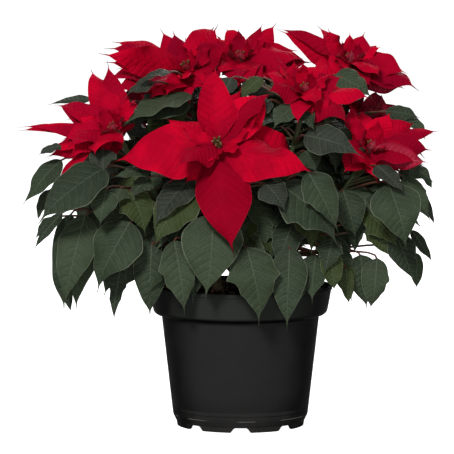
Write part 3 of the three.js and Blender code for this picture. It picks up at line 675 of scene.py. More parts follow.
@dataclass
class MeshMaker:
    """Gathers surfaces as whole arrays and makes one object of them.

    Attributes:
        points: Vertex arrays in millimetres.
        quads: Face arrays.
        finishes: Material index of each face.
        places: Across, along and length on the blade that a vertex is on, in metres.
        marks: Draw, share of the half width, and underside of each vertex.
        tones: Tone, dryness and share of the length of each vertex.
    """

    points: list[Array] = field(default_factory=list)
    quads: list[Array] = field(default_factory=list)
    finishes: list[Array] = field(default_factory=list)
    places: list[Array] = field(default_factory=list)
    marks: list[Array] = field(default_factory=list)
    tones: list[Array] = field(default_factory=list)

    def add(
        self, points: Array, quads: Array, finish: int = 0, place: Array | None = None,
        mark: Array | None = None, tone: Array | None = None,
    ) -> None:
        """Adds one closed surface.

        Args:
            points: Its vertices, one a row.
            quads: Its faces, four vertex numbers a row.
            finish: Which of the object's materials it takes.
            place: Its vertices' places on the blade.
            mark: Its vertices' marks.
            tone: Its vertices' tones.
        """
        start = sum(len(p) for p in self.points)
        blank = np.zeros((len(points), 3))
        self.points.append(points)
        self.quads.append(quads + start)
        self.finishes.append(np.full(len(quads), finish))
        self.places.append(blank if place is None else place)
        self.marks.append(blank if mark is None else mark)
        self.tones.append(blank if tone is None else tone)

    def build(self, name: str, materials: list[Material], sharp: float = 70.0) -> Piece:
        """Makes the object.

        Args:
            name: The piece's name.
            materials: Its materials, in the order of the finish numbers.
            sharp: Faces that meet at a sharper angle, in degrees, keep their edge.

        Returns:
            The object, linked into the scene.
        """
        points = np.concatenate(self.points) * MM
        quads = np.concatenate(self.quads).astype(np.int32)
        mesh = bpy.data.meshes.new(name)
        mesh.vertices.add(len(points))
        mesh.vertices.foreach_set("co", points.astype(np.float32).ravel())
        mesh.loops.add(quads.size)
        mesh.loops.foreach_set("vertex_index", quads.ravel())
        mesh.polygons.add(len(quads))
        mesh.polygons.foreach_set("loop_start", np.arange(0, quads.size, 4, dtype=np.int32))
        mesh.polygons.foreach_set("material_index", np.concatenate(self.finishes).astype(np.int32))
        mesh.polygons.foreach_set("use_smooth", np.ones(len(quads), bool))
        for label, rows in (("place", self.places), ("mark", self.marks), ("tone", self.tones)):
            values = mesh.attributes.new(label, "FLOAT_VECTOR", "POINT")
            values.data.foreach_set("vector", np.concatenate(rows).astype(np.float32).ravel())
        mesh.update(calc_edges=True)
        mesh.validate()
        mesh.set_sharp_from_angle(angle=math.radians(sharp))
        for material in materials:
            mesh.materials.append(material)
        return placed(name, mesh)


def grid_quads(rows: int, columns: int, closed: bool = False) -> Array:
    """Faces between the rows and columns of a grid, closed round its columns or not.

    Args:
        rows: Count of rows.
        columns: Count of columns.
        closed: Whether the last column joins the first.

    Returns:
        Four vertex numbers a face.
    """
    i, j = np.meshgrid(np.arange(rows - 1), np.arange(columns - (not closed)), indexing="ij")
    k = (j + 1) % columns
    near, far = i * columns, (i + 1) * columns
    return np.stack([near + j, near + k, far + k, far + j], -1).reshape(-1, 4)


def cap_quads(sides: int) -> Array:
    """Faces that close a ring of an even count of points: strips from one side to the other."""
    i = np.arange(sides // 2 - 1)
    return np.stack([i, i + 1, sides - 2 - i, sides - 1 - i], -1)


def tube(path: Array, radii: Array, sides: int, lumps: Array | float = 1.0) -> tuple[Array, Array]:
    """A closed tube: each point is path + radius (side cos a + other sin a), with flat ends.

    Args:
        path: Points of its axis.
        radii: Its radius at each.
        sides: An even count of sides.
        lumps: Shares of the radius on the grid of points and sides.

    Returns:
        Its vertices and faces.
    """
    tangents = np.gradient(path, axis=0)
    tangents /= np.linalg.norm(tangents, axis=1)[:, None]
    spare = np.eye(3)[np.argmin(np.abs(path[-1] - path[0]))]
    side = np.cross(tangents, spare)
    side /= np.linalg.norm(side, axis=1)[:, None]
    other = np.cross(tangents, side)
    a = 2 * np.pi * np.arange(sides) / sides
    reach = np.asarray(radii)[:, None] * np.ones(sides) * lumps
    spokes = side[:, None] * np.cos(a)[:, None] + other[:, None] * np.sin(a)[:, None]
    rings = path[:, None] + reach[..., None] * spokes
    quads = grid_quads(len(path), sides, closed=True)
    cap = cap_quads(sides)
    return rings.reshape(-1, 3), np.vstack([quads, cap[:, ::-1], cap + (len(path) - 1) * sides])


def revolved(profile: Array, sides: int) -> tuple[Array, Array]:
    """A profile of [radius, height] turned about Z: (r cos a, r sin a, z). Its ends are closed by caps.

    Args:
        profile: Its points, from the bottom's middle round to the top's middle, anticlockwise.
        sides: An even count of columns.

    Returns:
        Its vertices and faces.
    """
    a = 2 * np.pi * np.arange(sides) / sides
    r, z = profile[:, :1], profile[:, 1:]
    rings = np.stack([r * np.cos(a), r * np.sin(a), z + 0 * a], -1)
    cap = cap_quads(sides)
    quads = grid_quads(len(profile), sides, closed=True)
    return rings.reshape(-1, 3), np.vstack([quads, cap[:, ::-1], cap + (len(profile) - 1) * sides])


def posed(points: Array, axis: Array, place: Array) -> Array:
    """Turns points' +Z to an axis and moves them: x side + y other + z axis + place.

    Args:
        points: One point a row.
        axis: The unit direction that +Z turns to.
        place: Where the origin goes.

    Returns:
        The points in their place.
    """
    side = unit(np.cross(axis, np.eye(3)[np.argmin(np.abs(axis))]))
    return points @ np.stack([side, np.cross(axis, side), axis]) + place


# ------------------------------------------------------------------ skins of bracts and leaves


@dataclass(frozen=True)
class Skin:
    """How a kind of blade is shaped between its edges.

    Attributes:
        across: Count of columns.
        along: Count of rows.
        thickness: Through the middle.
        ruffle: Wave of the margin, as a share of the width.
        waves: Waves of the margin along the blade.
        quilt: Height of the swelling between side veins.
        curl: How far the tip curls under, as a share of the length.
        twist: Most turn of the blade about its midrib, in degrees.
        arch: How far the halves bend down towards the margin, as a share of the width.
        slant: How far a side vein runs on per unit that it runs out.
        spacing: Distance between side veins, as a share of the length.
        tooth: Height of a lobe over the plain outline.
        rise: How blunt the blade is at its root: less is blunter.
        fall: How fast it narrows beyond its widest.
        tail: Share of the length that the fine drawn-out point takes.
        buckle: Slow bending of each half, as a share of the width.
        deepen: How many times deeper than in the solid the fold is.
    """

    across: int = 15
    along: int = 31
    thickness: float = 0.45
    ruffle: float = 0.045
    waves: float = 2.6
    quilt: float = 0.7
    curl: float = 0.05
    twist: float = 9.0
    arch: float = 0.05
    slant: float = 0.55
    spacing: float = 0.1
    tooth: float = 0.2
    rise: float = 0.8
    fall: float = 1.1
    tail: float = 0.1
    buckle: float = 0.05
    deepen: float = 1.0

    def outline(self, v: Array, toothed: bool, draw: float) -> Array:
        """Half width as a share of the widest.

        The plain edge is (s/p)^a ((1-s)/(1-p))^b with s = v / (1 - tail), which is 1 at p and ends before the
        tip, beyond which a fine point runs on. A lobed edge is a little lower and carries two teeth: each
        rises slowly and falls fast past its peak.

        Args:
            v: Places along the blade.
            toothed: Whether the edge is lobed.
            draw: The blade's own draw, 0 to 1.

        Returns:
            The half width at each place.
        """
        fall = self.fall + 0.2 * (draw - 0.5)
        peak = self.rise / (self.rise + fall)
        s = np.minimum(v / (1 - self.tail), 1.0)
        edge = (s / peak) ** self.rise * ((1 - s) / (1 - peak)) ** fall
        edge = edge + 0.1 * np.clip((1 - v) / (2.2 * self.tail), 0, 1) * smoothstep(0.35, 0.8, v)
        if toothed:
            edge = edge * (1 - 0.8 * self.tooth)
            for place, height in ((0.36 + 0.06 * draw, 1.0), (0.57 + 0.05 * draw, 0.45)):
                before = np.clip(1 - (place - v) / 0.16, 0, 1) ** 2 * (v <= place)
                after = np.clip(1 - (v - place) / 0.075, 0, 1) ** 1.4 * (v > place)
                edge = edge + self.tooth * height * (before + after)
        return np.maximum(edge, 0.012)

    def vein_phase(self, x: Array, a: Array, length: float) -> Array:
        """Whole at each side vein: (a - slant |x| - bend x^2) / spacing, half a step on at one side."""
        reach = np.abs(x)
        run = self.slant * reach
        return (a - run - VEIN_BEND * MM * reach**2) / (self.spacing * length) + 0.5 * (x > 0)

    def surface(
        self, blade: Blade, rng: Draws, dryness: float, cast: float = 0.0
    ) -> dict[str, Array]:
        """The blade's closed skin, its upper and lower sheets meeting at the margin.

        A point of the middle sheet is midrib + across x + normal lift. The lift is the fold at the midrib,
        softened; the halves' arch; the wave of the margin; the swelling between side veins; and the curl of
        the tip. The whole section turns by a slow twist, and the tip swings to one side.

        Args:
            blade: The blade.
            rng: The draws.
            dryness: How dry its tip is, 0 to 1.
            cast: How much painted shade darkens it, 0 to 1.

        Returns:
            The points, quads, place, mark and tone that MeshMaker.add takes.
        """
        draw, phase, other_phase, sway, spin = rng.random(5)
        u = np.linspace(-1, 1, self.across)[None]
        v = (np.linspace(0, 1, self.along) ** 0.92)[:, None]
        left, right = blade.outline.value
        edges = self.outline(v, left, draw), self.outline(v, right, 1 - draw)
        half = np.where(u < 0, *edges) * blade.width / 2
        x = u * half
        length = blade.length
        middle, normals, across = blade.spine(v[:, 0])
        soft = np.sqrt(x**2 + 2.0) - math.sqrt(2.0)
        lift = blade.fold * self.deepen * soft
        lift -= self.arch * blade.width * (x / (blade.width / 2)) ** 2
        side = np.where(u < 0, phase, other_phase) * 2 * np.pi
        wave = np.sin(2 * np.pi * (self.waves + draw) * v + side) * smoothstep(0.04, 0.3, v) * (1 - 0.5 * v)
        broad = np.minimum(1.5 * half / (blade.width / 2), 1.0)
        lift += self.ruffle * blade.width * wave * np.abs(u) ** 2.5 * broad
        slow = np.sin(2 * np.pi * (0.9 * v + phase)) * u
        slow = slow + 0.7 * np.sin(2 * np.pi * (1.6 * v + other_phase)) * u**2
        lift += self.buckle * blade.width * slow * smoothstep(0.05, 0.35, v) * broad
        veins = self.vein_phase(x, v * length, length)
        swell = np.abs(np.sin(np.pi * veins)) ** 0.8 - 0.5
        swell = self.quilt * swell * (1 - np.abs(u) ** 3) * smoothstep(0.0, 0.12, np.abs(u))
        lift += swell * smoothstep(1, 0.8, v)
        lift -= self.curl * length * smoothstep(0.6, 1.0, v) ** 2 * (0.4 + draw)
        lift += 0.012 * length * np.sin(2 * np.pi * (1.2 * v + sway)) * v
        turn = np.radians(self.twist * (2 * spin - 1)) * smoothstep(0.15, 1, v) * 2
        swing = 0.05 * length * (2 * sway - 1) * smoothstep(0.5, 1, v) ** 2
        x_turned = x * np.cos(turn) - lift * np.sin(turn) * 0.5 + swing
        lift = lift * np.cos(turn) + x * np.sin(turn)
        sheet = middle[:, None] + across * x_turned[..., None] + normals[:, None] * lift[..., None]
        through = 0.5 * self.thickness * (1 - 0.6 * np.abs(u)) + 0 * v
        top = sheet + normals[:, None] * through[..., None]
        under = (sheet - normals[:, None] * through[..., None])[1:-1, 1:-1]
        top[[0, -1]], top[:, [0, -1]] = sheet[[0, -1]], sheet[:, [0, -1]]
        place = np.stack([x, v * length + 0 * x, length + 0 * x], -1) * MM
        mark = np.stack([draw + 0 * x, np.abs(u) + 0 * x, 0 * x], -1)
        # The cast of painted shade lowers the tone, which the finish turns towards its dusky colour.
        tone = np.stack([blade.tone.value - cast + 0 * x, dryness + 0 * x, v + 0 * x], -1)
        below = mark[1:-1, 1:-1].reshape(-1, 3) + [0, 0, 1]
        inner = (slice(1, -1), slice(1, -1))
        return {
            "points": np.vstack([top.reshape(-1, 3), under.reshape(-1, 3)]),
            "quads": self.quads(),
            "place": np.vstack([place.reshape(-1, 3), place[inner].reshape(-1, 3)]),
            "mark": np.vstack([mark.reshape(-1, 3), below]),
            "tone": np.vstack([tone.reshape(-1, 3), tone[inner].reshape(-1, 3)]),
        }

    def quads(self) -> Array:
        """Faces of both sheets on shared margins, the lower ones in the opposite order so they face down."""
        count = self.across * self.along
        lower = np.arange(count).reshape(self.along, self.across)
        own = np.arange((self.along - 2) * (self.across - 2)).reshape(self.along - 2, -1)
        lower[1:-1, 1:-1] = count + own
        upper = grid_quads(self.along, self.across)
        return np.vstack([upper, lower.ravel()[upper][:, [0, 3, 2, 1]]])


BRACT_SKIN = Skin(
    across=17, along=41, thickness=0.4, ruffle=0.07, waves=1.8, quilt=0.38, twist=14, arch=0.06, slant=0.62,
    spacing=0.09, fall=1.15, tail=0.12, buckle=0.1, deepen=2.4,
)
LEAF_SKIN = Skin(
    across=19, along=39, ruffle=0.05, quilt=0.5, curl=0.04, arch=0.1, slant=0.5, tooth=0.22, rise=0.7,
    fall=1.36, tail=0.12, buckle=0.06, deepen=1.2,
)
SMALL_BRACT = Skin(
    across=9, along=19, thickness=0.4, ruffle=0.08, quilt=0.2, curl=0.1, twist=20, slant=0.62, tooth=0.12,
    buckle=0.12,
)
SMALL_LEAF = Skin(
    across=11, along=21, ruffle=0.06, quilt=0.4, curl=0.06, twist=16, slant=0.5, tooth=0.22, rise=0.6,
    fall=1.05, buckle=0.09,
)
INNER_LEAF = replace(SMALL_LEAF, across=7, along=13, quilt=0.3)


# ------------------------------------------------------------------ finishes

Value = Socket | float | Colour


class Graph:
    """Adds nodes to one tree by short calls."""

    def __init__(self, tree: Tree) -> None:
        """Takes the tree to fill."""
        self.tree = tree

    def node(self, kind: str, **settings: object) -> Node:
        """Adds a node and sets its properties."""
        made = self.tree.nodes.new(kind)
        for name, value in settings.items():
            setattr(made, name, value)
        return made

    def plug(self, socket: Socket, value: Value) -> None:
        """Links a socket to another, or sets its own value."""
        if isinstance(value, Socket):
            self.tree.links.new(value, socket)
        elif isinstance(value, tuple):
            socket.default_value = (*value, 1.0) if len(socket.default_value) == 4 else value
        else:
            socket.default_value = value

    def math(self, operation: str, *values: Value) -> Socket:
        """One operation on up to three values."""
        made = self.node("ShaderNodeMath", operation=operation)
        for socket, value in zip(made.inputs, values):
            self.plug(socket, value)
        return made.outputs[0]

    def times(self, a: Value, b: Value) -> Socket:
        """The product of two values."""
        return self.math("MULTIPLY", a, b)

    def between(self, value: Value, low: Value, high: Value, start: Value = 0.0, end: Value = 1.0) -> Socket:
        """Smooth change from start to end as a value goes from low to high."""
        made = self.node("ShaderNodeMapRange", interpolation_type="SMOOTHSTEP")
        for socket, given in zip(made.inputs, (value, low, high, start, end)):
            self.plug(socket, given)
        return made.outputs[0]

    def belt(self, value: Value, slopes: Belt) -> Socket:
        """1 between two slopes, given as where the first starts and ends and where the second does."""
        low, high = self.between(value, *slopes[:2]), self.between(value, *slopes[2:], 1.0, 0.0)
        return self.times(low, high)

    def mix(self, share: Value, a: Value, b: Value) -> Socket:
        """A colour between a and b."""
        made = self.node("ShaderNodeMix", data_type="RGBA")
        self.plug(made.inputs[0], share)
        self.plug(made.inputs[6], a)
        self.plug(made.inputs[7], b)
        return made.outputs[2]

    def noise(self, vector: Socket, scale: float, detail: float = 3.0, distortion: float = 0.0) -> Socket:
        """A noise value about 0.5."""
        made = self.node("ShaderNodeTexNoise")
        return self.feed(made, vector=vector, scale=scale, detail=detail, distortion=distortion)["Fac"]

    def stretched(self, vector: Socket, scale: Scales) -> Socket:
        """A vector scaled on each axis."""
        return self.feed(self.node("ShaderNodeMapping"), vector=vector, scale=scale)[0]

    def attribute(self, name: str) -> list[Socket]:
        """The three numbers of a vertex attribute."""
        made = self.node("ShaderNodeAttribute", attribute_name=name)
        split = self.node("ShaderNodeSeparateXYZ")
        self.plug(split.inputs[0], made.outputs["Vector"])
        return list(split.outputs)

    def object_place(self) -> Socket:
        """Object coordinates."""
        return self.node("ShaderNodeTexCoord").outputs["Object"]

    def feed(self, node: Node, **values: Value) -> bpy.types.bpy_prop_collection:
        """Plugs values into a node's sockets of those names, and gives its outputs."""
        for name, value in values.items():
            self.plug(node.inputs[name.replace("_", " ").title()], value)
        return node.outputs

    def use(self, group: Tree, **values: Value) -> bpy.types.bpy_prop_collection:
        """Places a group with its values, and gives its outputs."""
        return self.feed(self.node("ShaderNodeGroup", node_tree=group), **values)

    def bump(self, height: Socket, strength: float, distance: float) -> Socket:
        """A normal from a height."""
        return self.feed(self.node("ShaderNodeBump"), strength=strength, distance=distance, height=height)[0]


def new_group(name: str, inputs: dict[str, float], outputs: tuple[str, ...]) -> tuple[Graph, Graph, Graph]:
    """Makes an empty shader group.

    Args:
        name: Its name.
        inputs: Names and values of its inputs. A name that ends in a star is a vector's.
        outputs: Names of its outputs.

    Returns:
        Its graph, its input node and its output node.
    """
    tree = bpy.data.node_groups.new(name, "ShaderNodeTree")
    for label, value in inputs.items():
        kind = "NodeSocketVector" if label.endswith("*") else "NodeSocketFloat"
        made = tree.interface.new_socket(label.rstrip("*"), in_out="INPUT", socket_type=kind)
        if kind == "NodeSocketFloat":
            made.default_value = value
    for label in outputs:
        tree.interface.new_socket(label, in_out="OUTPUT", socket_type="NodeSocketFloat")
    graph = Graph(tree)
    return graph, graph.node("NodeGroupInput"), graph.node("NodeGroupOutput")


def vein_group() -> Tree:
    """Veins of a blade: a midrib, side veins that run out and on from it, and a net between them.

    A side vein lies where (along - slant reach - bend reach^2) over (spacing length), plus a half at one
    side, is whole. Reach is the distance from the midrib, in metres.

    Returns:
        The group. Veins and Net are masks, and Swell is the height between side veins.
    """
    graph, given, result = new_group(
        "blade_veins",
        {
            "Across": 0, "Along": 0, "Length": 0.1, "Margin": 0, "Slant": 0.7, "Spacing": 0.1,
            "Midrib": 0.0007, "Side": 0.0003,
        },
        ("Veins", "Swell", "Net"),
    )
    i = given.outputs
    reach = graph.math("ABSOLUTE", i["Across"])
    bend = graph.times(VEIN_BEND, graph.math("POWER", reach, 2.0))
    run = graph.math("MULTIPLY_ADD", reach, i["Slant"], bend)
    step = graph.times(i["Spacing"], i["Length"])
    phase = graph.math("DIVIDE", graph.math("SUBTRACT", i["Along"], run), step)
    phase = graph.math("MULTIPLY_ADD", graph.math("GREATER_THAN", i["Across"], 0.0), 0.5, phase)
    off = graph.math("ABSOLUTE", graph.math("SUBTRACT", graph.math("FRACT", phase), 0.5))
    near = graph.math("SUBTRACT", 0.5, off)
    distance = graph.times(graph.times(near, step), 0.8)
    thin = graph.times(i["Side"], graph.between(i["Margin"], 0.1, 1.0, 1.0, 0.35))
    side = graph.between(distance, 0.0, thin, 1.0, 0.0)
    side = graph.times(side, graph.between(i["Margin"], 0.6, 0.97, 1.0, 0.25))
    share = graph.math("DIVIDE", i["Along"], i["Length"])
    rib_width = graph.times(i["Midrib"], graph.between(share, 0.0, 1.0, 1.25, 0.35))
    rib = graph.between(reach, graph.times(rib_width, 0.35), rib_width, 1.0, 0.0)
    place = graph.node("ShaderNodeCombineXYZ")
    for socket, value in zip(place.inputs, (i["Across"], i["Along"], i["Length"])):
        graph.plug(socket, value)
    net = graph.node("ShaderNodeTexVoronoi", feature="DISTANCE_TO_EDGE")
    distance = graph.feed(net, vector=place.outputs[0], scale=420.0)["Distance"]
    graph.feed(
        result, veins=graph.math("MAXIMUM", side, rib), swell=graph.between(near, 0.0, 0.3),
        net=graph.between(distance, 0.02, 0.14, 1.0, 0.0),
    )
    return graph.tree


def mottle_group() -> Tree:
    """Uneven colour and grain: soft patches at one scale, and a fine grain at twelve times that."""
    graph, given, result = new_group("mottle", {"Place*": 0, "Scale": 30.0}, ("Patches", "Grain"))
    i = given.outputs
    for label, factor, detail in (("Patches", 1.0, 3.0), ("Grain", 12.0, 5.0)):
        made = graph.node("ShaderNodeTexNoise")
        graph.plug(made.inputs["Vector"], i["Place"])
        graph.plug(made.inputs["Scale"], graph.times(i["Scale"], factor))
        made.inputs["Detail"].default_value = detail
        graph.plug(result.inputs[label], graph.between(made.outputs["Fac"], 0.3, 0.7))
    return graph.tree


class Finishes:
    """The groups that finishes share, built once, and a blank shader to start each from."""

    def __init__(self) -> None:
        """Builds the groups."""
        self.veins = vein_group()
        self.mottle = mottle_group()

    @staticmethod
    def blank(
        name: str, roughness: float, specular: float
    ) -> tuple[Material, Graph, Node]:
        """A material with only its shader.

        Args:
            name: The material's name.
            roughness: Its roughness.
            specular: Its specular level.

        Returns:
            The material, its graph and its shader node.
        """
        material = bpy.data.materials.new(name)
        material.use_nodes = True
        graph = Graph(material.node_tree)
        shader = material.node_tree.nodes["Principled BSDF"]
        shader.inputs["Roughness"].default_value = roughness
        shader.inputs["Specular IOR Level"].default_value = specular
        return material, graph, shader


@dataclass(frozen=True)
class BladeFinish:
    """The skin of bracts or leaves: colours by face, vein, margin and tip, over the veins' relief.

    Attributes:
        name: The material's name.
        face: Colour of the upper face.
        deep: Its darker patches, and the colour of the painted shade towards its root.
        young: Colour that some blades lean to.
        olive: Colour of a blade of olive tone.
        dusk_and_shade: Colour of a blade of dusky tone, and of the painted shade that darkens bracts at
            random.
        vein: Colour of the veins above.
        margin: Colour of the thin margin.
        under: Colour of the lower face.
        under_vein: Colour of the veins below.
        tip: Colour of a dried tip.
        vein_share: How strongly the veins colour the upper face.
        margin_share: How strongly the margin is coloured.
        root_shade: How strongly painted shade deepens the colour at the blade's root, where blades crowd.
        dull: Share of the blades that are deeper all over.
        roughness: Roughness of the upper face.
        specular: Specular level.
        slant: Slant of the side veins.
        spacing: Spacing of the side veins.
        patches: Scale of the uneven colour.
        relief: Height of the veins' relief.
        rim: Shares of the half width between which the margin's colour comes in.
        dried: Shares of the length between which a dry tip's colour comes in.
    """

    name: str
    face: Colour
    deep: Colour
    young: Colour
    olive: Colour
    dusk_and_shade: Colour
    vein: Colour
    margin: Colour
    under: Colour
    under_vein: Colour
    tip: Colour
    vein_share: float
    margin_share: float
    root_shade: float
    dull: float
    roughness: float
    specular: float
    slant: float
    spacing: float
    patches: float = 38.0
    relief: float = 0.0008
    rim: Span = (0.96, 0.995)
    dried: Span = (0.885, 0.955)

    def build(self, shared: Finishes) -> Material:
        """Makes the material.

        Args:
            shared: The groups to place in it.

        Returns:
            The material.
        """
        material, graph, shader = shared.blank(self.name, self.roughness, self.specular)
        across, along, length = graph.attribute("place")
        draw, margin, under = graph.attribute("mark")
        tone, dryness, share = graph.attribute("tone")
        veins = graph.use(
            shared.veins, across=across, along=along, length=length, margin=margin, slant=self.slant,
            spacing=self.spacing,
        )
        mottle = graph.use(shared.mottle, place=graph.object_place(), scale=self.patches)
        colour = graph.mix(graph.between(mottle["Patches"], 0.0, 1.0, 0.0, 0.55), self.face, self.deep)
        colour = graph.mix(graph.between(draw, 0.0, self.dull, 0.8, 0.0), colour, self.deep)
        colour = graph.mix(graph.between(draw, 0.5, 1.0, 0.0, 0.8), colour, self.young)
        # Painted shade towards the root, where the blades crowd at the stem.
        colour = graph.mix(graph.between(share, 0.0, 0.4, self.root_shade, 0.0), colour, self.deep)
        colour = graph.mix(graph.between(tone, 0.0, 1.0, 0.0, 0.85), colour, self.olive)
        # A leaf's dusky tone; on a bract, painted shade drawn at random by its cast.
        colour = graph.mix(graph.between(tone, -1.0, 0.0, 0.75, 0.0), colour, self.dusk_and_shade)
        colour = graph.mix(graph.times(veins["Net"], 0.12), colour, self.vein)
        colour = graph.mix(graph.times(veins["Veins"], self.vein_share), colour, self.vein)
        edge = graph.times(graph.between(margin, *self.rim), self.margin_share)
        colour = graph.mix(edge, colour, self.margin)
        below = graph.mix(graph.times(veins["Veins"], 0.7), self.under, self.under_vein)
        colour = graph.mix(under, colour, below)
        dry = graph.times(graph.between(share, *self.dried), dryness)
        colour = graph.mix(dry, colour, self.tip)
        grain = graph.times(mottle["Grain"], 0.25)
        relief = graph.math("MULTIPLY_ADD", veins["Swell"], 0.8, grain)
        relief = graph.math("MULTIPLY_ADD", veins["Net"], -0.15, relief)
        normal = graph.bump(relief, 0.6, self.relief)
        rough = graph.between(mottle["Grain"], 0.0, 1.0, self.roughness - 0.06, self.roughness + 0.08)
        graph.feed(shader, base_color=colour, normal=normal, roughness=rough)
        return material


BRACT_FINISH = BladeFinish(
    name="velvety_red_bract", face=(0.45, 0.0003, 0.0165), deep=(0.19, 0.0002, 0.01),
    young=(0.54, 0.0004, 0.02), olive=(0.39, 0.0004, 0.0135), dusk_and_shade=(0.17, 0.0004, 0.014),
    vein=(0.27, 0.0007, 0.013), margin=(0.5, 0.012, 0.035), under=(0.3, 0.012, 0.035),
    under_vein=(0.5, 0.13, 0.15), tip=(0.04, 0.008, 0.01), vein_share=0.22,
    margin_share=0.35, root_shade=0.9, dull=0.3, roughness=0.7, specular=0.02,
    slant=BRACT_SKIN.slant, spacing=BRACT_SKIN.spacing,
)
LEAF_FINISH = BladeFinish(
    name="dark_green_leaf", face=(0.027, 0.0415, 0.0205), deep=(0.011, 0.019, 0.0095),
    young=(0.034, 0.049, 0.025), olive=(0.029, 0.043, 0.008), dusk_and_shade=(0.018, 0.0205, 0.0172),
    vein=(0.12, 0.145, 0.1), margin=(0.17, 0.19, 0.13), under=(0.05, 0.075, 0.035),
    under_vein=(0.12, 0.14, 0.075), tip=(0.02, 0.018, 0.012), vein_share=0.34,
    margin_share=0.7, root_shade=0.5, dull=0.7, roughness=0.62, specular=0.14,
    slant=LEAF_SKIN.slant, spacing=LEAF_SKIN.spacing,
)


@dataclass(frozen=True)
class StalkFinish:
    """Stems and petioles: green at the stem, flushed red towards the blade.

    Attributes:
        name: The material's name.
        green: Colour at the stem.
        flush: Colour towards the blade.
    """

    name: str = "flushed_green_stalk"
    green: Colour = (0.05, 0.08, 0.025)
    flush: Colour = (0.08, 0.028, 0.018)

    def build(self, shared: Finishes) -> Material:
        """Makes the material, with its flush by the tone's third number."""
        material, graph, shader = shared.blank(self.name, 0.5, 0.35)
        _, _, share = graph.attribute("tone")
        mottle = graph.use(shared.mottle, place=graph.object_place(), scale=60.0)
        flushed = graph.math("MULTIPLY_ADD", graph.math("SUBTRACT", mottle["Patches"], 0.5), 0.4, share)
        colour = graph.mix(graph.between(flushed, 0.1, 0.8), self.green, self.flush)
        graph.feed(shader, base_color=colour, normal=graph.bump(mottle["Grain"], 0.4, 0.0004))
        return material


@dataclass(frozen=True)
class EarthyFinish:
    """Bark, peat or chips: two colours in uneven patches over a rough relief.

    Attributes:
        name: The material's name.
        light: The lighter colour.
        dark: The darker colour.
        scale: Scale of the patches.
        relief: Height of the relief.
        stretch: Scale of the pattern on each axis.
    """

    name: str
    light: Colour
    dark: Colour
    scale: float
    relief: float
    stretch: Scales = (1.0, 1.0, 1.0)

    def build(self, shared: Finishes) -> Material:
        """Makes the material."""
        material, graph, shader = shared.blank(self.name, 0.95, 0.15)
        place = graph.stretched(graph.object_place(), self.stretch)
        mottle = graph.use(shared.mottle, place=place, scale=self.scale)
        patches = graph.times(mottle["Patches"], 0.55)
        share = graph.math("MULTIPLY_ADD", mottle["Grain"], 0.45, patches)
        colour = graph.mix(share, self.dark, self.light)
        graph.feed(shader, base_color=colour, normal=graph.bump(share, 0.9, self.relief))
        return material


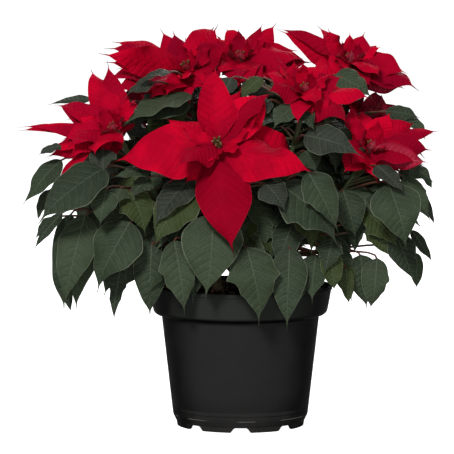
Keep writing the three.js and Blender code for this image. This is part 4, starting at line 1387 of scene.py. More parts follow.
@dataclass(frozen=True)
class PotFinish:
    """Moulded black plastic: a fine grain, faint flow lines up the wall, dust and scuffs low down.

    It is greener in the rim band. It has painted shade in the crease under the band and as it turns away
    from the eye, like a wall that the light falls off round, and a painted highlight broken here and there
    on the ledge above the foot.

    Attributes:
        name: The material's name.
        black: Its colour.
        band: Colour of its rim band.
        dusty: Colour of dust and scuffs.
        shade: Colour of the painted shade in the crease and on the wall seen at a slant.
        ledge_highlight: Colour of the painted highlight on the ledge.
        reach: Height that splashes reach, in metres, as all heights here.
        knee: Heights between which the band's colour comes in.
        crease: The crease, as the slopes of a belt of heights.
        ledge: The ledge, likewise.
        turning: Shares of facing away between which the painted shade on the wall comes in.
        darkest: How dark that painted shade gets, 0 to 1.
        crease_shade: How strongly the painted shade darkens the crease.
        highlight_breaks: Values of the noise between which the ledge's painted highlight shows.
        roughness: Its roughness before dust.
        specular: Specular level.
    """

    name: str = "moulded_black_plastic"
    black: Colour = (0.0195, 0.0195, 0.0195)
    band: Colour = (0.0235, 0.0265, 0.0235)
    dusty: Colour = (0.03, 0.028, 0.026)
    shade: Colour = (0.002, 0.002, 0.002)
    ledge_highlight: Colour = (0.16, 0.16, 0.15)
    reach: float = 0.03
    knee: Span = (0.118, 0.12)
    crease: Belt = (0.1142, 0.1152, 0.1172, 0.1178)
    ledge: Belt = (0.0112, 0.0115, 0.0121, 0.0124)
    turning: Span = (0.15, 0.6)
    darkest: float = 0.93
    crease_shade: float = 0.8
    highlight_breaks: Span = (0.44, 0.52)
    roughness: float = 0.5
    specular: float = 0.01

    def build(self, shared: Finishes) -> Material:
        """Makes the material."""
        material, graph, shader = shared.blank(self.name, self.roughness, self.specular)
        place = graph.object_place()
        mottle = graph.use(shared.mottle, place=place, scale=55.0)
        flow = graph.noise(graph.stretched(place, (160.0, 160.0, 7.0)), 1.0, 2.0)
        split = graph.node("ShaderNodeSeparateXYZ")
        graph.plug(split.inputs[0], place)
        height = split.outputs[2]
        low = graph.between(height, 0.0, self.reach, 0.5, 0.0)
        dust = graph.times(mottle["Patches"], graph.math("ADD", low, 0.12))
        scratches = graph.noise(graph.stretched(place, (60.0, 60.0, 420.0)), 1.0, 4.0, 1.2)
        scuffs = graph.times(graph.between(scratches, 0.66, 0.74), graph.math("ADD", low, 0.05))
        dust = graph.math("MAXIMUM", dust, scuffs)
        colour = graph.mix(graph.between(height, *self.knee), self.black, self.band)
        # Painted shade: the wall darkens as it turns away from the eye.
        away = graph.node("ShaderNodeLayerWeight").outputs["Facing"]
        colour = graph.mix(graph.between(away, *self.turning, 0.0, self.darkest), colour, self.shade)
        # Painted shade in the crease under the rim band.
        crease = graph.times(graph.belt(height, self.crease), self.crease_shade)
        colour = graph.mix(crease, colour, self.shade)
        # Painted highlight on the ledge above the foot, broken here and there by noise.
        highlight_breaks = graph.noise(graph.stretched(place, (26.0, 26.0, 0.0)), 1.0, 1.0)
        highlight_breaks = graph.times(graph.between(highlight_breaks, *self.highlight_breaks), 0.8)
        ledge_highlight = graph.times(graph.belt(height, self.ledge), highlight_breaks)
        colour = graph.mix(ledge_highlight, colour, self.ledge_highlight)
        colour = graph.mix(dust, colour, self.dusty)
        rough = graph.math("MULTIPLY_ADD", mottle["Patches"], 0.08, 0.42)
        rough = graph.math("MULTIPLY_ADD", dust, 0.35, rough)
        relief = graph.math("MULTIPLY_ADD", flow, 0.6, graph.times(mottle["Grain"], 0.4))
        graph.feed(shader, base_color=colour, normal=graph.bump(relief, 0.25, 0.0004), roughness=rough)
        return material


@dataclass(frozen=True)
class CupFinish:
    """The small cups: green below, flushed towards the mouth, or the waxy yellow of a gland.

    Attributes:
        name: The material's name.
        low: Colour at the foot.
        high: Colour at the mouth.
    """

    name: str
    low: Colour
    high: Colour

    def build(self, shared: Finishes) -> Material:
        """Makes the material."""
        material, graph, shader = shared.blank(self.name, 0.4, 0.5)
        _, _, share = graph.attribute("tone")
        mottle = graph.use(shared.mottle, place=graph.object_place(), scale=300.0)
        colour = graph.mix(graph.between(share, 0.3, 0.95), self.low, self.high)
        colour = graph.mix(graph.times(mottle["Patches"], 0.25), colour, self.low)
        graph.feed(shader, base_color=colour, normal=graph.bump(mottle["Grain"], 0.3, 0.0002))
        return material


@dataclass(frozen=True)
class FloorFinish:
    """A pale matt floor with the faintest unevenness.

    Attributes:
        name: The material's name.
        pale: Its colour.
        dull: Its duller patches.
        glow: How brightly it looks lit from within.
    """

    name: str = "pale_floor"
    pale: Colour = (0.5, 0.5, 0.5)
    dull: Colour = (0.47, 0.47, 0.47)
    glow: float = 1.05

    def build(self, shared: Finishes) -> Material:
        """Makes the material, which looks lit from within like a light table but lights nothing."""
        material, graph, shader = shared.blank(self.name, 0.9, 0.0)
        mottle = graph.use(shared.mottle, place=graph.object_place(), scale=2.0)
        graph.feed(shader, base_color=graph.mix(mottle["Patches"], self.pale, self.dull))
        seen = graph.node("ShaderNodeLightPath").outputs["Is Camera Ray"]
        graph.feed(shader, emission_color=graph.mix(seen, (0.0, 0.0, 0.0), (1.0, 1.0, 1.0)))
        shader.inputs["Emission Strength"].default_value = self.glow
        return material


# ------------------------------------------------------------------ pot and peat


@dataclass(frozen=True)
class Pot:
    """The moulded pot: a thin turned wall with a rim band and a foot, notched and slotted for drainage.

    Attributes:
        height: To the top of its rim.
        rim: Outer radius at the top.
        band: Outer radius at the rim band's lower corner.
        band_height: Height of the rim band.
        neck: Outer radius just under the band.
        base: Outer radius at the heel.
        heel: Height of the heel.
        foot: Outer radius of the foot.
        foot_width: Width of the foot ring.
        plate: Height of the base plate's underside.
        hub: Radius of the base's middle, which dips to the ground.
        wall: Wall thickness.
        columns: Count of columns round it.
        notches: Count of notches and of slots.
        sharp: Faces that meet at a sharper angle, in degrees, keep their edge.
    """

    height: float = 145.0
    rim: float = 95.0
    band: float = 90.0
    band_height: float = 26.0
    neck: float = 81.5
    base: float = 70.0
    heel: float = 13.0
    foot: float = 66.0
    foot_width: float = 4.0
    plate: float = 5.0
    hub: float = 20.0
    wall: float = 1.8
    columns: int = 128
    notches: int = 8
    sharp: float = 38.0

    def outside(self) -> list[Row]:
        """The outer face from the hub to the lip, with its moulding lines by the foot and the band."""
        knee = self.height - self.band_height
        slope = (self.neck - self.base) / (knee - 5.5 - self.heel)

        def wall(z: float, proud: float = 0.0) -> Row:
            """The straight wall at a height, standing proud of it or sunk."""
            return (self.base + slope * (z - self.heel) + proud, z)

        hub, plate, foot, base, neck, band, rim = (
            self.hub, self.plate, self.foot, self.base, self.neck, self.band, self.rim
        )
        heel, ring, top = self.heel, self.foot_width, self.height
        return [
            (1.0, 0.0), (hub - 0.6, 0.0), (hub, 0.4), (hub + 3, plate), (foot - ring, plate),
            (foot - ring, 0.3), (foot - ring + 0.4, 0.0), (foot - 0.5, 0.0), (foot, 0.5), (foot + 0.6, 6.0),
            (foot + 1.5, 6.6), (base - 2.0, 8.2), (base - 0.8, 10.2), wall(heel), wall(15.0),
            wall(15.4, -0.45), wall(16.4, -0.45), wall(16.8), wall(19.8), wall(20.2, -0.25),
            wall(20.8, -0.25), wall(21.2), wall(40.0), wall(65.0), wall(90.0), wall(knee - 8.0),
            (neck, knee - 5.5), (neck + 1.6, knee - 4.4), (neck + 5.5, knee - 3.2),
            (band - 0.9, knee - 1.4), (band, knee), (band + 0.35, knee + 1.6), (band + 2.4, knee + 12.0),
            (rim - 1.1, top - 5.0), (rim - 0.7, top - 4.2), (rim, top - 3.4), (rim, top - 0.8),
            (rim - 0.35, top - 0.15), (rim - 0.8, top),
        ]

    def inside(self) -> list[Row]:
        """The inner face from the lip back down to the middle."""
        knee = self.height - self.band_height
        wall = self.wall
        return [
            (self.rim - wall, self.height), (self.rim - wall - 0.3, self.height - 0.4),
            (self.band - wall, knee + 1.0), (self.band - wall - 0.8, knee - 1.6),
            (self.neck - wall, knee - 3.5), (self.base - wall, self.heel),
            (self.foot - wall, self.plate + wall), (self.hub + 2, self.plate + wall), (self.hub - 1, wall),
            (1.0, wall),
        ]

    def cutters(self) -> tuple[Array, Array]:
        """Prisms for the notches, wider at the ground, and boxes for the drain slots."""
        notch = np.array([
            (-10.3, -1), (10.3, -1), (10.3, 0), (7.3, 4), (5.8, 5), (-5.8, 5), (-7.3, 4), (-10.3, 0),
        ])
        slot = np.array([(-6.0, 2.0), (6.0, 2.0), (6.0, 9.0), (-6.0, 9.0)])
        points, quads = [], []
        for section, near, far in ((notch, 57.0, 71.0), (slot, 50.0, 56.0)):
            sides = len(section)
            ring = np.column_stack([section[:, 0], np.zeros(sides), section[:, 1]])
            prism = np.vstack([ring - [0, near, 0], ring - [0, far, 0]])
            cap = cap_quads(sides)
            faces = np.vstack([grid_quads(2, sides, closed=True), cap[:, ::-1], cap + sides])
            for k in range(self.notches):
                quads.append(faces + sum(len(p) for p in points))
                points.append(turned_points(prism, 360 * k / self.notches))
        return np.vstack(points), np.vstack(quads)

    def build(self, finish: Material) -> Piece:
        """Args:
            finish: Its material.

        Returns:
            The piece.
        """
        maker = MeshMaker()
        maker.add(*revolved(np.array(self.outside() + self.inside()), self.columns))
        piece = maker.build("nursery_pot", [finish], self.sharp)
        tool = MeshMaker()
        tool.add(*self.cutters())
        cutter = tool.build("pot_cutter", [])
        cut = piece.modifiers.new("drainage", "BOOLEAN")
        cut.operation, cut.solver, cut.object = "DIFFERENCE", "EXACT", cutter
        bpy.context.view_layer.update()
        shape = bpy.data.meshes.new_from_object(piece.evaluated_get(bpy.context.evaluated_depsgraph_get()))
        piece.modifiers.remove(cut)
        bpy.data.objects.remove(cutter)
        piece.data = shape
        shape.set_sharp_from_angle(angle=math.radians(self.sharp))
        return declared(piece, "pot", "pot")


@dataclass(frozen=True)
class Peat:
    """The peat: a crumbly crown over a plain body, with bark chips pressed into it.

    Attributes:
        edge: Radius at the top edge.
        edge_height: Height of that edge.
        crown: Height in the middle.
        crumb: Height of the crumbs.
        rows: Count of rings of the top.
        columns: Count of columns.
        chips: Count of chips.
        seed: Seed of the draws.
    """

    edge: float = 91.0
    edge_height: float = 138.5
    crown: float = 143.0
    crumb: float = 1.3
    rows: int = 60
    columns: int = 160
    chips: int = 420
    seed: int = 11

    def height(self, r: Array) -> Array:
        """Height of the smooth crown: crown - (crown - edge) (r / edge)^3."""
        return self.crown - 1.0 - (self.crown - 1.0 - self.edge_height) * (r / self.edge) ** 3

    def bed(self, finish: Material) -> Piece:
        """The peat's body. Its crumbs are sums of sines of the place, taken to a power, and fine noise."""
        rng = np.random.default_rng(self.seed)
        r = self.edge * np.linspace(1, 0.01, self.rows)
        a = 2 * np.pi * np.arange(self.columns) / self.columns
        x, y = r[:, None] * np.cos(a), r[:, None] * np.sin(a)
        crumbs = np.zeros_like(x)
        for _ in range(14):
            way, pitch, phase = rng.random() * 2 * np.pi, rng.uniform(0.25, 1.3), rng.random() * 6.28
            crumbs += np.sin(pitch * (x * np.cos(way) + y * np.sin(way)) + phase) / 14**0.5
        crumbs = self.crumb * (np.abs(crumbs) ** 0.7 + 0.5 * rng.random(x.shape)) - self.crumb
        top = np.stack([x, y, self.height(r)[:, None] + crumbs], -1)
        rim = (self.edge - 0.4, self.edge_height - 3.0)
        side = np.array([(1.0, 20.0), (68.0, 20.0), (78.0, 110.0), (86.5, 121.0), rim])
        radius = side[:, :1]
        below = np.stack([radius * np.cos(a), radius * np.sin(a), side[:, 1:] + 0 * a], -1)
        points = np.vstack([below.reshape(-1, 3), top.reshape(-1, 3)])
        rows = len(side) + self.rows
        cap = cap_quads(self.columns)
        quads = np.vstack([
            grid_quads(rows, self.columns, closed=True), cap[:, ::-1], cap + (rows - 1) * self.columns,
        ])
        maker = MeshMaker()
        maker.add(points, quads)
        return declared(maker.build("peat_bed", [finish]), "peat", "soil")

    def chip_pieces(self, finishes: list[Material]) -> Piece:
        """Bark chips: each a lumpy ball (cos b cos a, cos b sin a, sin b) pulled to three sizes."""
        rng = np.random.default_rng(self.seed + 1)
        maker = MeshMaker()
        b = np.radians([-88, -50, 0, 50, 88])
        ball, faces = revolved(np.column_stack([np.cos(b), np.sin(b)]), 6)
        for _ in range(self.chips):
            r = (self.edge - 5.0) * math.sqrt(rng.random())
            a = rng.random() * 2 * math.pi
            size = rng.uniform(1.0, 3.4) * np.array([1.0, rng.uniform(0.45, 0.9), rng.uniform(0.3, 0.6)])
            lump = ball * size * (1 + 0.3 * (rng.random((len(ball), 1)) - 0.5))
            axis = unit(np.array([rng.normal(0, 0.4), rng.normal(0, 0.4), 1.0]))
            height = self.height(np.array([r]))[0] + 0.1 * size[0]
            place = np.array([r * math.cos(a), r * math.sin(a), height])
            spun = posed(turned_points(lump, rng.random() * 360), axis, place)
            maker.add(spun, faces, finish=int(rng.random() < 0.45))
        return declared(maker.build("peat_chips", finishes, sharp=35.0), "peat")


def turned_points(points: Array, degrees: float) -> Array:
    """Points turned about Z: (x cos - y sin, x sin + y cos, z)."""
    a = math.radians(degrees)
    return points @ np.array([[math.cos(a), math.sin(a), 0], [-math.sin(a), math.cos(a), 0], [0, 0, 1]])


def declared(piece: Piece, slot: str, *nodes: str) -> Piece:
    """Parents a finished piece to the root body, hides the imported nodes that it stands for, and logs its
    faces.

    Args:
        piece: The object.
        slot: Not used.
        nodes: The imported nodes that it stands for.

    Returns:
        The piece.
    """
    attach(piece, "root")
    if nodes:
        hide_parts(*nodes)
    log.info("%s: %d faces", piece.name, len(piece.data.polygons))
    return piece


# ------------------------------------------------------------------ the plant


@dataclass(frozen=True)
class Trunk:
    """A woody cutting with a fork for each shoot it carries.

    Attributes:
        index: Its number, from 0.
        radius: Of the trunk.
        fork_radius: Of a fork.
        foot: Height of its foot, in the peat.
    """

    index: int
    radius: float = 5.5
    fork_radius: float = 3.8
    foot: float = 112.4

    def build(self, finish: Material) -> Piece:
        """Makes the trunk and its forks: tubes whose radius swells at nodes and is lumpy like bark."""
        rng = np.random.default_rng(30 + self.index)
        maker = MeshMaker()
        x, y = TRUNK_PLACES[self.index]
        z = np.linspace(self.foot, TRUNK_TOP + 3, 24)
        path = np.column_stack([x + 0.5 * np.sin(z / 9), y + 0.5 * np.cos(z / 11), z])
        path[:, :2] += [x, y] - path[-1, :2]
        swell = self.radius * (0.92 + 0.08 * np.sin(z / 3.1) ** 2)
        maker.add(*tube(path, swell, 12, 1 + 0.07 * (rng.random((24, 12)) - 0.5)))
        for bloom in BLOOMS:
            if bloom.fork[0] == self.index:
                start, _, end = Shoot(bloom).fork
                t = np.linspace(0, 1, 9)[:, None]
                girth = self.fork_radius * (1.12 - 0.12 * t[:, 0])
                maker.add(*tube(start + (end - start) * t, girth, 10, 1 + 0.07 * (rng.random((9, 10)) - 0.5)))
        number = self.index + 1
        return declared(maker.build(f"woody_trunk_{number}", [finish]), "bark", f"trunk_{number}")


@dataclass
class Sprays:
    """Builds the blooms and leafy stems from the lines that the solids follow.

    Attributes:
        bract: Finish of bracts.
        leaf: Finish of leaves.
        stalk: Finish of stems and petioles.
        cup: Finish of the cups.
        gland: Finish of their glands.
    """

    bract: Material
    leaf: Material
    stalk: Material
    cup: Material
    gland: Material

    def stalk_tube(self, maker: MeshMaker, path: Array, radii: Array, sides: int, flush: Array) -> None:
        """Adds a stem or petiole.

        Args:
            maker: Where it goes.
            path: Points of its axis.
            radii: Its radius at each.
            sides: Count of sides.
            flush: How red it is at each.
        """
        points, quads = tube(path, radii, sides)
        tone = np.zeros((len(points), 3))
        tone[:, 2] = np.repeat(flush, sides)
        maker.add(points, quads, finish=1, tone=tone)

    def petiole(self, maker: MeshMaker, start: Array, blade: Blade) -> None:
        """Adds a petiole: a cubic curve that rises a little from the stem and runs on into the midrib."""
        t = np.linspace(0, 1, 9)
        reach = blade.root - start
        span = np.linalg.norm(reach)
        on = unit(blade.spine(np.array([0.04]))[0][0] - blade.root)
        lift = UP * 0.04 * span
        before = blade.root - on * 0.12 * span + lift * 0.5
        line = bezier((start, start + reach * 0.33 + lift, before, blade.root + on), t)
        self.stalk_tube(maker, line, 1.45 - 0.45 * t, 6, 0.35 + 0.65 * t)

    def foliage(self, number: int, shoot: Shoot) -> Piece:
        """The leafy stem with the petioles and leaves that its solid holds.

        Args:
            number: The shoot's number, from 1.
            shoot: Its lines.

        Returns:
            The piece.
        """
        rng = np.random.default_rng(100 + number)
        solid = Solid(f"leafy_stem_{number}")
        maker = MeshMaker()
        t = np.linspace(0, 1, 33)
        girth = 2.8 * (0.88 + 0.12 * np.cos(2 * np.pi * 5 * t) ** 8)
        self.stalk_tube(maker, shoot.stem(t), girth, 10, 0.1 + 0.2 * t)
        samples = shoot.stem(np.linspace(0, 1, 41))
        left_out = 0
        for blade in shoot.set_leaves(shoot.bloom.leaves) + shoot.rule_leaves():
            held = solid.settle(blade)
            if held is None:
                left_out += 1
                continue
            self.petiole(maker, solid.stalk_start(held, samples), held)
            maker.add(**LEAF_SKIN.surface(held, rng, 0.8))
        for blade in shoot.set_leaves(shoot.bloom.sprigs):
            start = samples[4 + np.argmin(np.abs(samples[4:38, 2] - (blade.root[2] - 20)))]
            self.petiole(maker, start, blade)
            maker.add(**(LEAF_SKIN if blade.width > 30 else SMALL_LEAF).surface(blade, rng, 0.8))
        log.info("leafy stem %d: %d leaves not in its solid", number, left_out)
        piece = maker.build(f"foliage_{number}", [self.leaf, self.stalk])
        return declared(piece, "foliage", f"leafy_stem_{number}")

    def heart_bracts(self, shoot: Shoot, rng: Draws) -> list[Blade]:
        """Small young bracts round the cups, a golden angle apart, the first ones highest and shortest."""
        blades = []
        for k in range(YOUNG_BRACTS):
            sideways = shoot.around(math.radians(GOLDEN_ANGLE * k - 90))
            lift = math.radians(shoot.bloom.heart * (1.25 - 0.09 * k) * rng.uniform(0.9, 1.1))
            length = 18 + 2.3 * k * rng.uniform(0.8, 1.1)
            root = shoot.centre + sideways * 4.2 - shoot.facing * 0.5
            tip = root + shoot.lifted(sideways, lift) * length
            blades.append(Blade(root, tip, shoot.facing, shoot.bract_fold, 0.54 * length, -0.1 * length))
        return blades

    def filling_bracts(self, shoot: Shoot, rng: Draws, reach: float) -> list[Blade]:
        """Shorter bracts among the main ones, at every lift.

        Args:
            shoot: The shoot's lines.
            rng: The draws.
            reach: Mean length of the main bracts.

        Returns:
            The blades.
        """
        blades = []
        for k in range(shoot.bloom.filling):
            sideways = shoot.around(math.radians(GOLDEN_ANGLE * k + 15 + rng.uniform(-10, 10)))
            lift = math.radians(rng.uniform(-26, 34))
            length = reach * rng.uniform(0.6, 0.88)
            root = shoot.centre - shoot.facing * rng.uniform(1, 11) + sideways * 2.5
            tip = root + shoot.lifted(sideways, lift) * length
            bow, roll = rng.uniform(-0.06, 0.14) * length, rng.normal(0, 16)
            outline = FILLING_OUTLINES[k % 4]
            blades.append(Blade(root, tip, shoot.facing, shoot.bract_fold, 0.5 * length, bow, roll, outline))
        return blades

    def bloom(self, number: int, shoot: Shoot) -> Piece:
        """The swollen stem end with its bracts.

        Args:
            number: The shoot's number, from 1.
            shoot: Its lines.

        Returns:
            The piece.
        """
        rng = np.random.default_rng(200 + number)
        solid = Solid(f"bracts_{number}")
        maker = MeshMaker()
        depths = np.array([-13.0, -11.0, -6.0, -2.0, 0.4, 1.0])
        head = shoot.centre + shoot.facing * depths[:, None]
        girth = np.array([3.3, 3.4, 3.8, 4.2, 3.9, 3.0])
        self.stalk_tube(maker, head, girth, 12, np.array([0.3, 0.4, 0.6, 0.8, 0.5, 0.3]))
        held = [blade for blade in map(solid.settle, shoot.bracts()) if blade]
        reach = float(np.mean([blade.length for blade in held]))
        # Painted shade: each bract is darkened by a random share of this, least in the front bloom.
        shade = shoot.bloom.shade
        for blade in held:
            maker.add(**BRACT_SKIN.surface(blade, rng, 1.0, shade * rng.random()))
        for blade in shoot.extra_bracts():
            maker.add(**SMALL_BRACT.surface(blade, rng, 0.5, shade * rng.uniform(0.2, 1.1)))
        for blade in self.filling_bracts(shoot, rng, reach) + self.heart_bracts(shoot, rng):
            maker.add(**SMALL_BRACT.surface(blade, rng, 0.0, shade * rng.uniform(0.2, 1.0)))
        log.info("bloom %d: %d of its %d bracts in its solid", number, len(held), len(shoot.bracts()))
        piece = maker.build(f"bloom_{number}", [self.bract, self.stalk])
        return declared(piece, "bracts", f"bracts_{number}")

    def cups(self, number: int, shoot: Shoot) -> Piece:
        """The cluster of cups: each an egg-shaped turned form with a lip, a waxy gland and short stamens.

        Args:
            number: The shoot's number, from 1.
            shoot: Its lines.

        Returns:
            The piece.
        """
        rng = np.random.default_rng(300 + number)
        maker = MeshMaker()
        egg = np.array([
            (0.4, 0), (1.0, 0.4), (1.55, 1.6), (1.6, 2.9), (1.2, 4.1), (1.25, 4.4), (0.95, 4.3), (0.3, 3.4),
        ])
        gland = np.array([(0.2, 0), (0.75, 0.15), (0.85, 0.5), (0.6, 0.75), (0.3, 0.6)])
        stamen = np.array([(0.12, 0), (0.14, 1.3), (0.32, 1.6), (0.3, 1.9), (0.1, 2.0)])
        for k in range(CUPS):
            out = shoot.around(math.radians(60 * k + rng.uniform(-12, 12)))
            reach = 2.6 if k else 0.0
            foot = shoot.centre + shoot.facing * 1.3 + out * reach
            axis = unit(shoot.facing + out * (0.35 if k else 0.0))
            size = rng.uniform(0.85, 1.1)
            self.turned_part(maker, egg * size, 10, axis, foot, 0)
            lip = foot + axis * 3.9 * size + out * 1.15 * size
            self.turned_part(maker, gland * size, 8, unit(axis * 0.4 + out), lip, 1)
            for _ in range(STAMENS):
                lean = unit(axis + rng.normal(0, 0.25, 3))
                self.turned_part(maker, stamen, 6, lean, foot + axis * 3.2 * size + lean * 0.2, 1)
        piece = maker.build(f"cups_{number}", [self.cup, self.gland], sharp=60)
        return declared(piece, "cyathia", f"cyathia_{number}")

    @staticmethod
    def turned_part(
        maker: MeshMaker, profile: Array, sides: int, axis: Array, place: Array, finish: int
    ) -> None:
        """Adds a turned form that stands on a place along an axis.

        Args:
            maker: Where it goes.
            profile: Its [radius, height] points.
            sides: Count of sides.
            axis: The way it stands.
            place: The middle of its foot.
            finish: Which of the object's materials it takes.
        """
        points, quads = revolved(profile, sides)
        tone = np.zeros_like(points)
        tone[:, 2] = points[:, 2] / points[:, 2].max()
        maker.add(posed(points, axis, place), quads, finish=finish, tone=tone)


@dataclass(frozen=True)
class InnerFoliage:
    """Smaller leaves that fill the crown's inside and back, grown from the shoots' stems.

    Attributes:
        front: Most that a leaf may come forward, at each of the heights.
        heights: The heights, from the pot's rim up.
        counts: Leaves of each shoot.
        seed: Seed of the draws.
        tries: Most draws for each leaf asked for.
        inset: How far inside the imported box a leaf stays.
        clear: Radius and height of the space over the pot that stays free.
        lowest: Height that no leaf hangs below.
        corner: A leaf further right than the first isn't lower than the second.
        top: Height of the crown's dome.
        middle: The dome's middle.
        drop: Its fall per square of the distance.
        olive_share: Share of olive leaves.
        lean: Spread of a leaf's roll, in degrees.
    """

    front: tuple[float, ...] = (-104.0, -86.0, -38.0, 10.0)
    heights: tuple[float, ...] = (150.0, 200.0, 300.0, 345.0)
    counts: tuple[int, ...] = (44, 36, 34, 34, 34, 34, 28, 26, 26, 26, 26)
    seed: int = 400
    tries: int = 40
    inset: float = 8.0
    clear: Span = (108.0, 158.0)
    lowest: float = 128.0
    corner: Span = (112.0, 205.0)
    top: float = 392.0
    middle: Span = (5.0, 40.0)
    drop: float = 0.0042
    olive_share: float = 0.16
    lean: float = 14.0

    def fits(self, blade: Blade, low: Array, high: Array) -> bool:
        """Whether a leaf stays in the crown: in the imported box, off the pot and behind the front leaves.

        The crown's dome is top - drop ((x - middle)^2 + (y - middle)^2).

        Args:
            blade: The leaf.
            low: Lowest corner of the box.
            high: Highest corner.

        Returns:
            True if it may stay.
        """
        middle, _, _ = blade.spine(np.array([0.5]))
        ends = np.vstack([blade.root, blade.tip, middle[0]])
        x, y, z = ends.T
        if (ends < low + self.inset).any() or (ends > high - self.inset).any():
            return False
        radius, height = self.clear
        if ((np.linalg.norm(ends[:, :2], axis=1) < radius) & (z < height)).any() or z.min() < self.lowest:
            return False
        right, least = self.corner
        if ((x > right) & (z < least)).any():
            return False
        if (z > self.top - self.drop * ((x - self.middle[0]) ** 2 + (y - self.middle[1]) ** 2)).any():
            return False
        return bool((y > np.interp(z, self.heights, self.front)).all())

    def leaves(self, shoot: Shoot, count: int, rng: Draws) -> list[tuple[Array, Blade]]:
        """Draws leaves along a stem until enough of them fit. Those at the front look further forward.

        Args:
            shoot: The shoot's lines.
            count: How many.
            rng: The draws.

        Returns:
            The start of each petiole, and its blade.
        """
        low, high = (np.array(corner) / MM for corner in CAD_BOX)
        found = []
        for _ in range(self.tries * count):
            share = rng.uniform(0.12, 0.95)
            start = shoot.stem(np.array([share]))[0]
            outward = math.atan2(start[1] - 20, start[0])
            azimuth = outward + math.radians(rng.uniform(-150, 150))
            away = level(azimuth)
            length = rng.uniform(48, 86) * (1.05 - 0.3 * share)
            droop = math.radians(rng.uniform(14, 74) - 22 * share)
            root = start + away * rng.uniform(16, 44) + UP * rng.uniform(2, 20)
            tip = root + drooping(away, droop) * length
            ahead = 0.8 * np.clip((90 - tip[1]) / 60, 0, 1)
            face = unit(away * 0.45 + UP - np.array([0.0, ahead, 0.0]))
            tone = Tone.OLIVE if rng.random() < self.olive_share else Tone.GREEN
            roll = rng.normal(0, self.lean)
            outline = SHOOT_OUTLINES[rng.integers(5)]
            size = (0.55 * length, 0.1 * length)
            blade = Blade(root, tip, face, shoot.leaf_fold, *size, roll, outline, tone)
            if self.fits(blade, low, high):
                found.append((start, blade))
            if len(found) == count:
                break
        return found

    def build(self, sprays: Sprays) -> None:
        """Makes one piece for each shoot."""
        for number, (bloom, count) in enumerate(zip(BLOOMS, self.counts), 1):
            rng = np.random.default_rng(self.seed + number)
            maker = MeshMaker()
            for start, blade in self.leaves(Shoot(bloom), count, rng):
                sprays.petiole(maker, start, blade)
                maker.add(**INNER_LEAF.surface(blade, rng, 0.0))
            declared(maker.build(f"inner_foliage_{number}", [sprays.leaf, sprays.stalk]), "foliage")


# ------------------------------------------------------------------ the setting


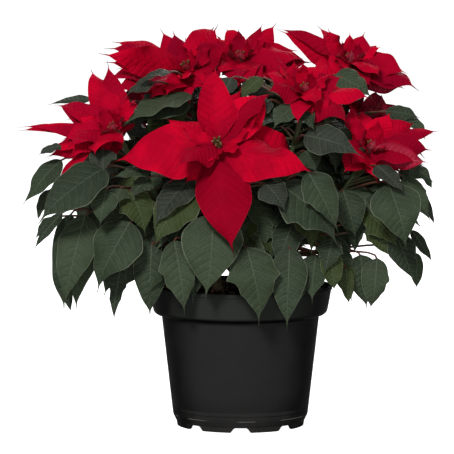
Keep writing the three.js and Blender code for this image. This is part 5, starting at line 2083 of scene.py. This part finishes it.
@dataclass(frozen=True)
class Studio:
    """Pale floor, soft lights and the camera.

    Attributes:
        eye: Place of the camera.
        aim: What it looks at.
        lens: Focal length in millimetres.
        sensor: Width of the sensor in millimetres.
        floor_radius: Radius of the floor, in metres.
        lamps: Name, place, size and power of each light, in metres and watts.
        lit: Where the lights point, in metres.
        sky: Strength of the even sky.
    """

    eye: Row = (-13.9, -3400.0, 508.0)
    aim: Row = (-13.9, 0.0, 205.0)
    lens: float = 262.0
    sensor: float = 36.0
    floor_radius: float = 60.0
    lamps: tuple[Row, ...] = (
        ("key", (-0.8, -2.75, 2.15), 0.6, 101.0),
        ("top", (0.2, -0.3, 3.0), 1.5, 18.0),
        ("front", (0.3, -3.3, 0.6), 0.9, 20.0),
        ("back", (0.4, 2.6, 2.0), 1.6, 62.0),
        ("left", (-2.6, 1.7, 1.6), 1.2, 15.0),
        ("right", (2.6, 1.7, 1.6), 1.2, 22.0),
    )
    lit: Row = (0, 0, 0.25)
    sky: float = 0.1

    def camera(self) -> None:
        """Places the camera."""
        data = bpy.data.cameras.new("camera")
        data.lens, data.sensor_width = self.lens, self.sensor
        data.clip_end = 200.0
        camera = placed("camera", data)
        camera.location = Vector(self.eye) * MM
        camera.rotation_euler = (Vector(self.aim) - Vector(self.eye)).to_track_quat("-Z", "Y").to_euler()
        bpy.context.scene.camera = camera

    def floor(self, finish: Material) -> None:
        """A round floor: rings of radius R s^3, so that it is fine near the middle."""
        a = 2 * np.pi * np.arange(48) / 48
        r = self.floor_radius / MM * np.linspace(0.02, 1, 24) ** 3
        rings = np.stack([r[:, None] * np.cos(a), r[:, None] * np.sin(a), 0 * r[:, None] + 0 * a], -1)
        quads = np.vstack([grid_quads(24, 48, closed=True)[:, ::-1], cap_quads(48)])
        maker = MeshMaker()
        maker.add(rings.reshape(-1, 3), quads)
        maker.build("floor", [finish])

    def lights(self) -> None:
        """A key high at the front, left of the camera, a low fill, one above, three behind, and a dim sky."""
        for name, place, size, power in self.lamps:
            data = bpy.data.lights.new(name, "AREA")
            data.size, data.energy = size, power
            light = placed(name, data)
            light.location = place
            light.rotation_euler = (Vector(self.lit) - Vector(place)).to_track_quat("-Z", "Y").to_euler()
        world = bpy.data.worlds.new("studio")
        world.use_nodes = True
        inputs = world.node_tree.nodes["Background"].inputs
        inputs["Color"].default_value = (1.0, 1.0, 1.0, 1.0)
        inputs["Strength"].default_value = self.sky
        bpy.context.scene.world = world
        bpy.context.scene.view_settings.view_transform = "Standard"


def main() -> None:
    """Builds every piece in order."""
    logging.basicConfig(level=logging.INFO, format="%(name)s: %(message)s")
    shared = Finishes()
    studio = Studio()
    studio.camera()
    studio.floor(FloorFinish().build(shared))
    studio.lights()
    Pot().build(PotFinish().build(shared))
    peat = EarthyFinish(
        "dark_peat", light=(0.045, 0.026, 0.015), dark=(0.008, 0.005, 0.003), scale=260.0, relief=0.002
    )
    dark_chip = EarthyFinish(
        "dark_bark_chip", light=(0.07, 0.04, 0.022), dark=(0.02, 0.012, 0.007), scale=500.0, relief=0.0006
    )
    pale_chip = replace(dark_chip, name="pale_bark_chip", light=(0.3, 0.2, 0.11), dark=(0.1, 0.06, 0.03))
    chips = [dark_chip.build(shared), pale_chip.build(shared)]
    Peat().bed(peat.build(shared))
    Peat().chip_pieces(chips)
    bark = EarthyFinish(
        "grey_brown_bark", light=(0.2, 0.15, 0.09), dark=(0.06, 0.045, 0.025), scale=220.0, relief=0.0008,
        stretch=(1.0, 1.0, 0.3),
    ).build(shared)
    for index in range(len(TRUNK_PLACES)):
        Trunk(index).build(bark)
    sprays = Sprays(
        bract=BRACT_FINISH.build(shared),
        leaf=LEAF_FINISH.build(shared),
        stalk=StalkFinish().build(shared),
        cup=CupFinish("green_cup", low=(0.05, 0.07, 0.015), high=(0.09, 0.03, 0.012)).build(shared),
        gland=CupFinish("waxy_gland", low=(0.13, 0.08, 0.015), high=(0.24, 0.14, 0.03)).build(shared),
    )
    for number, bloom in enumerate(BLOOMS, 1):
        shoot = Shoot(bloom)
        sprays.foliage(number, shoot)
        sprays.bloom(number, shoot)
        sprays.cups(number, shoot)
    InnerFoliage().build(sprays)


if __name__ == "__main__":
    main()
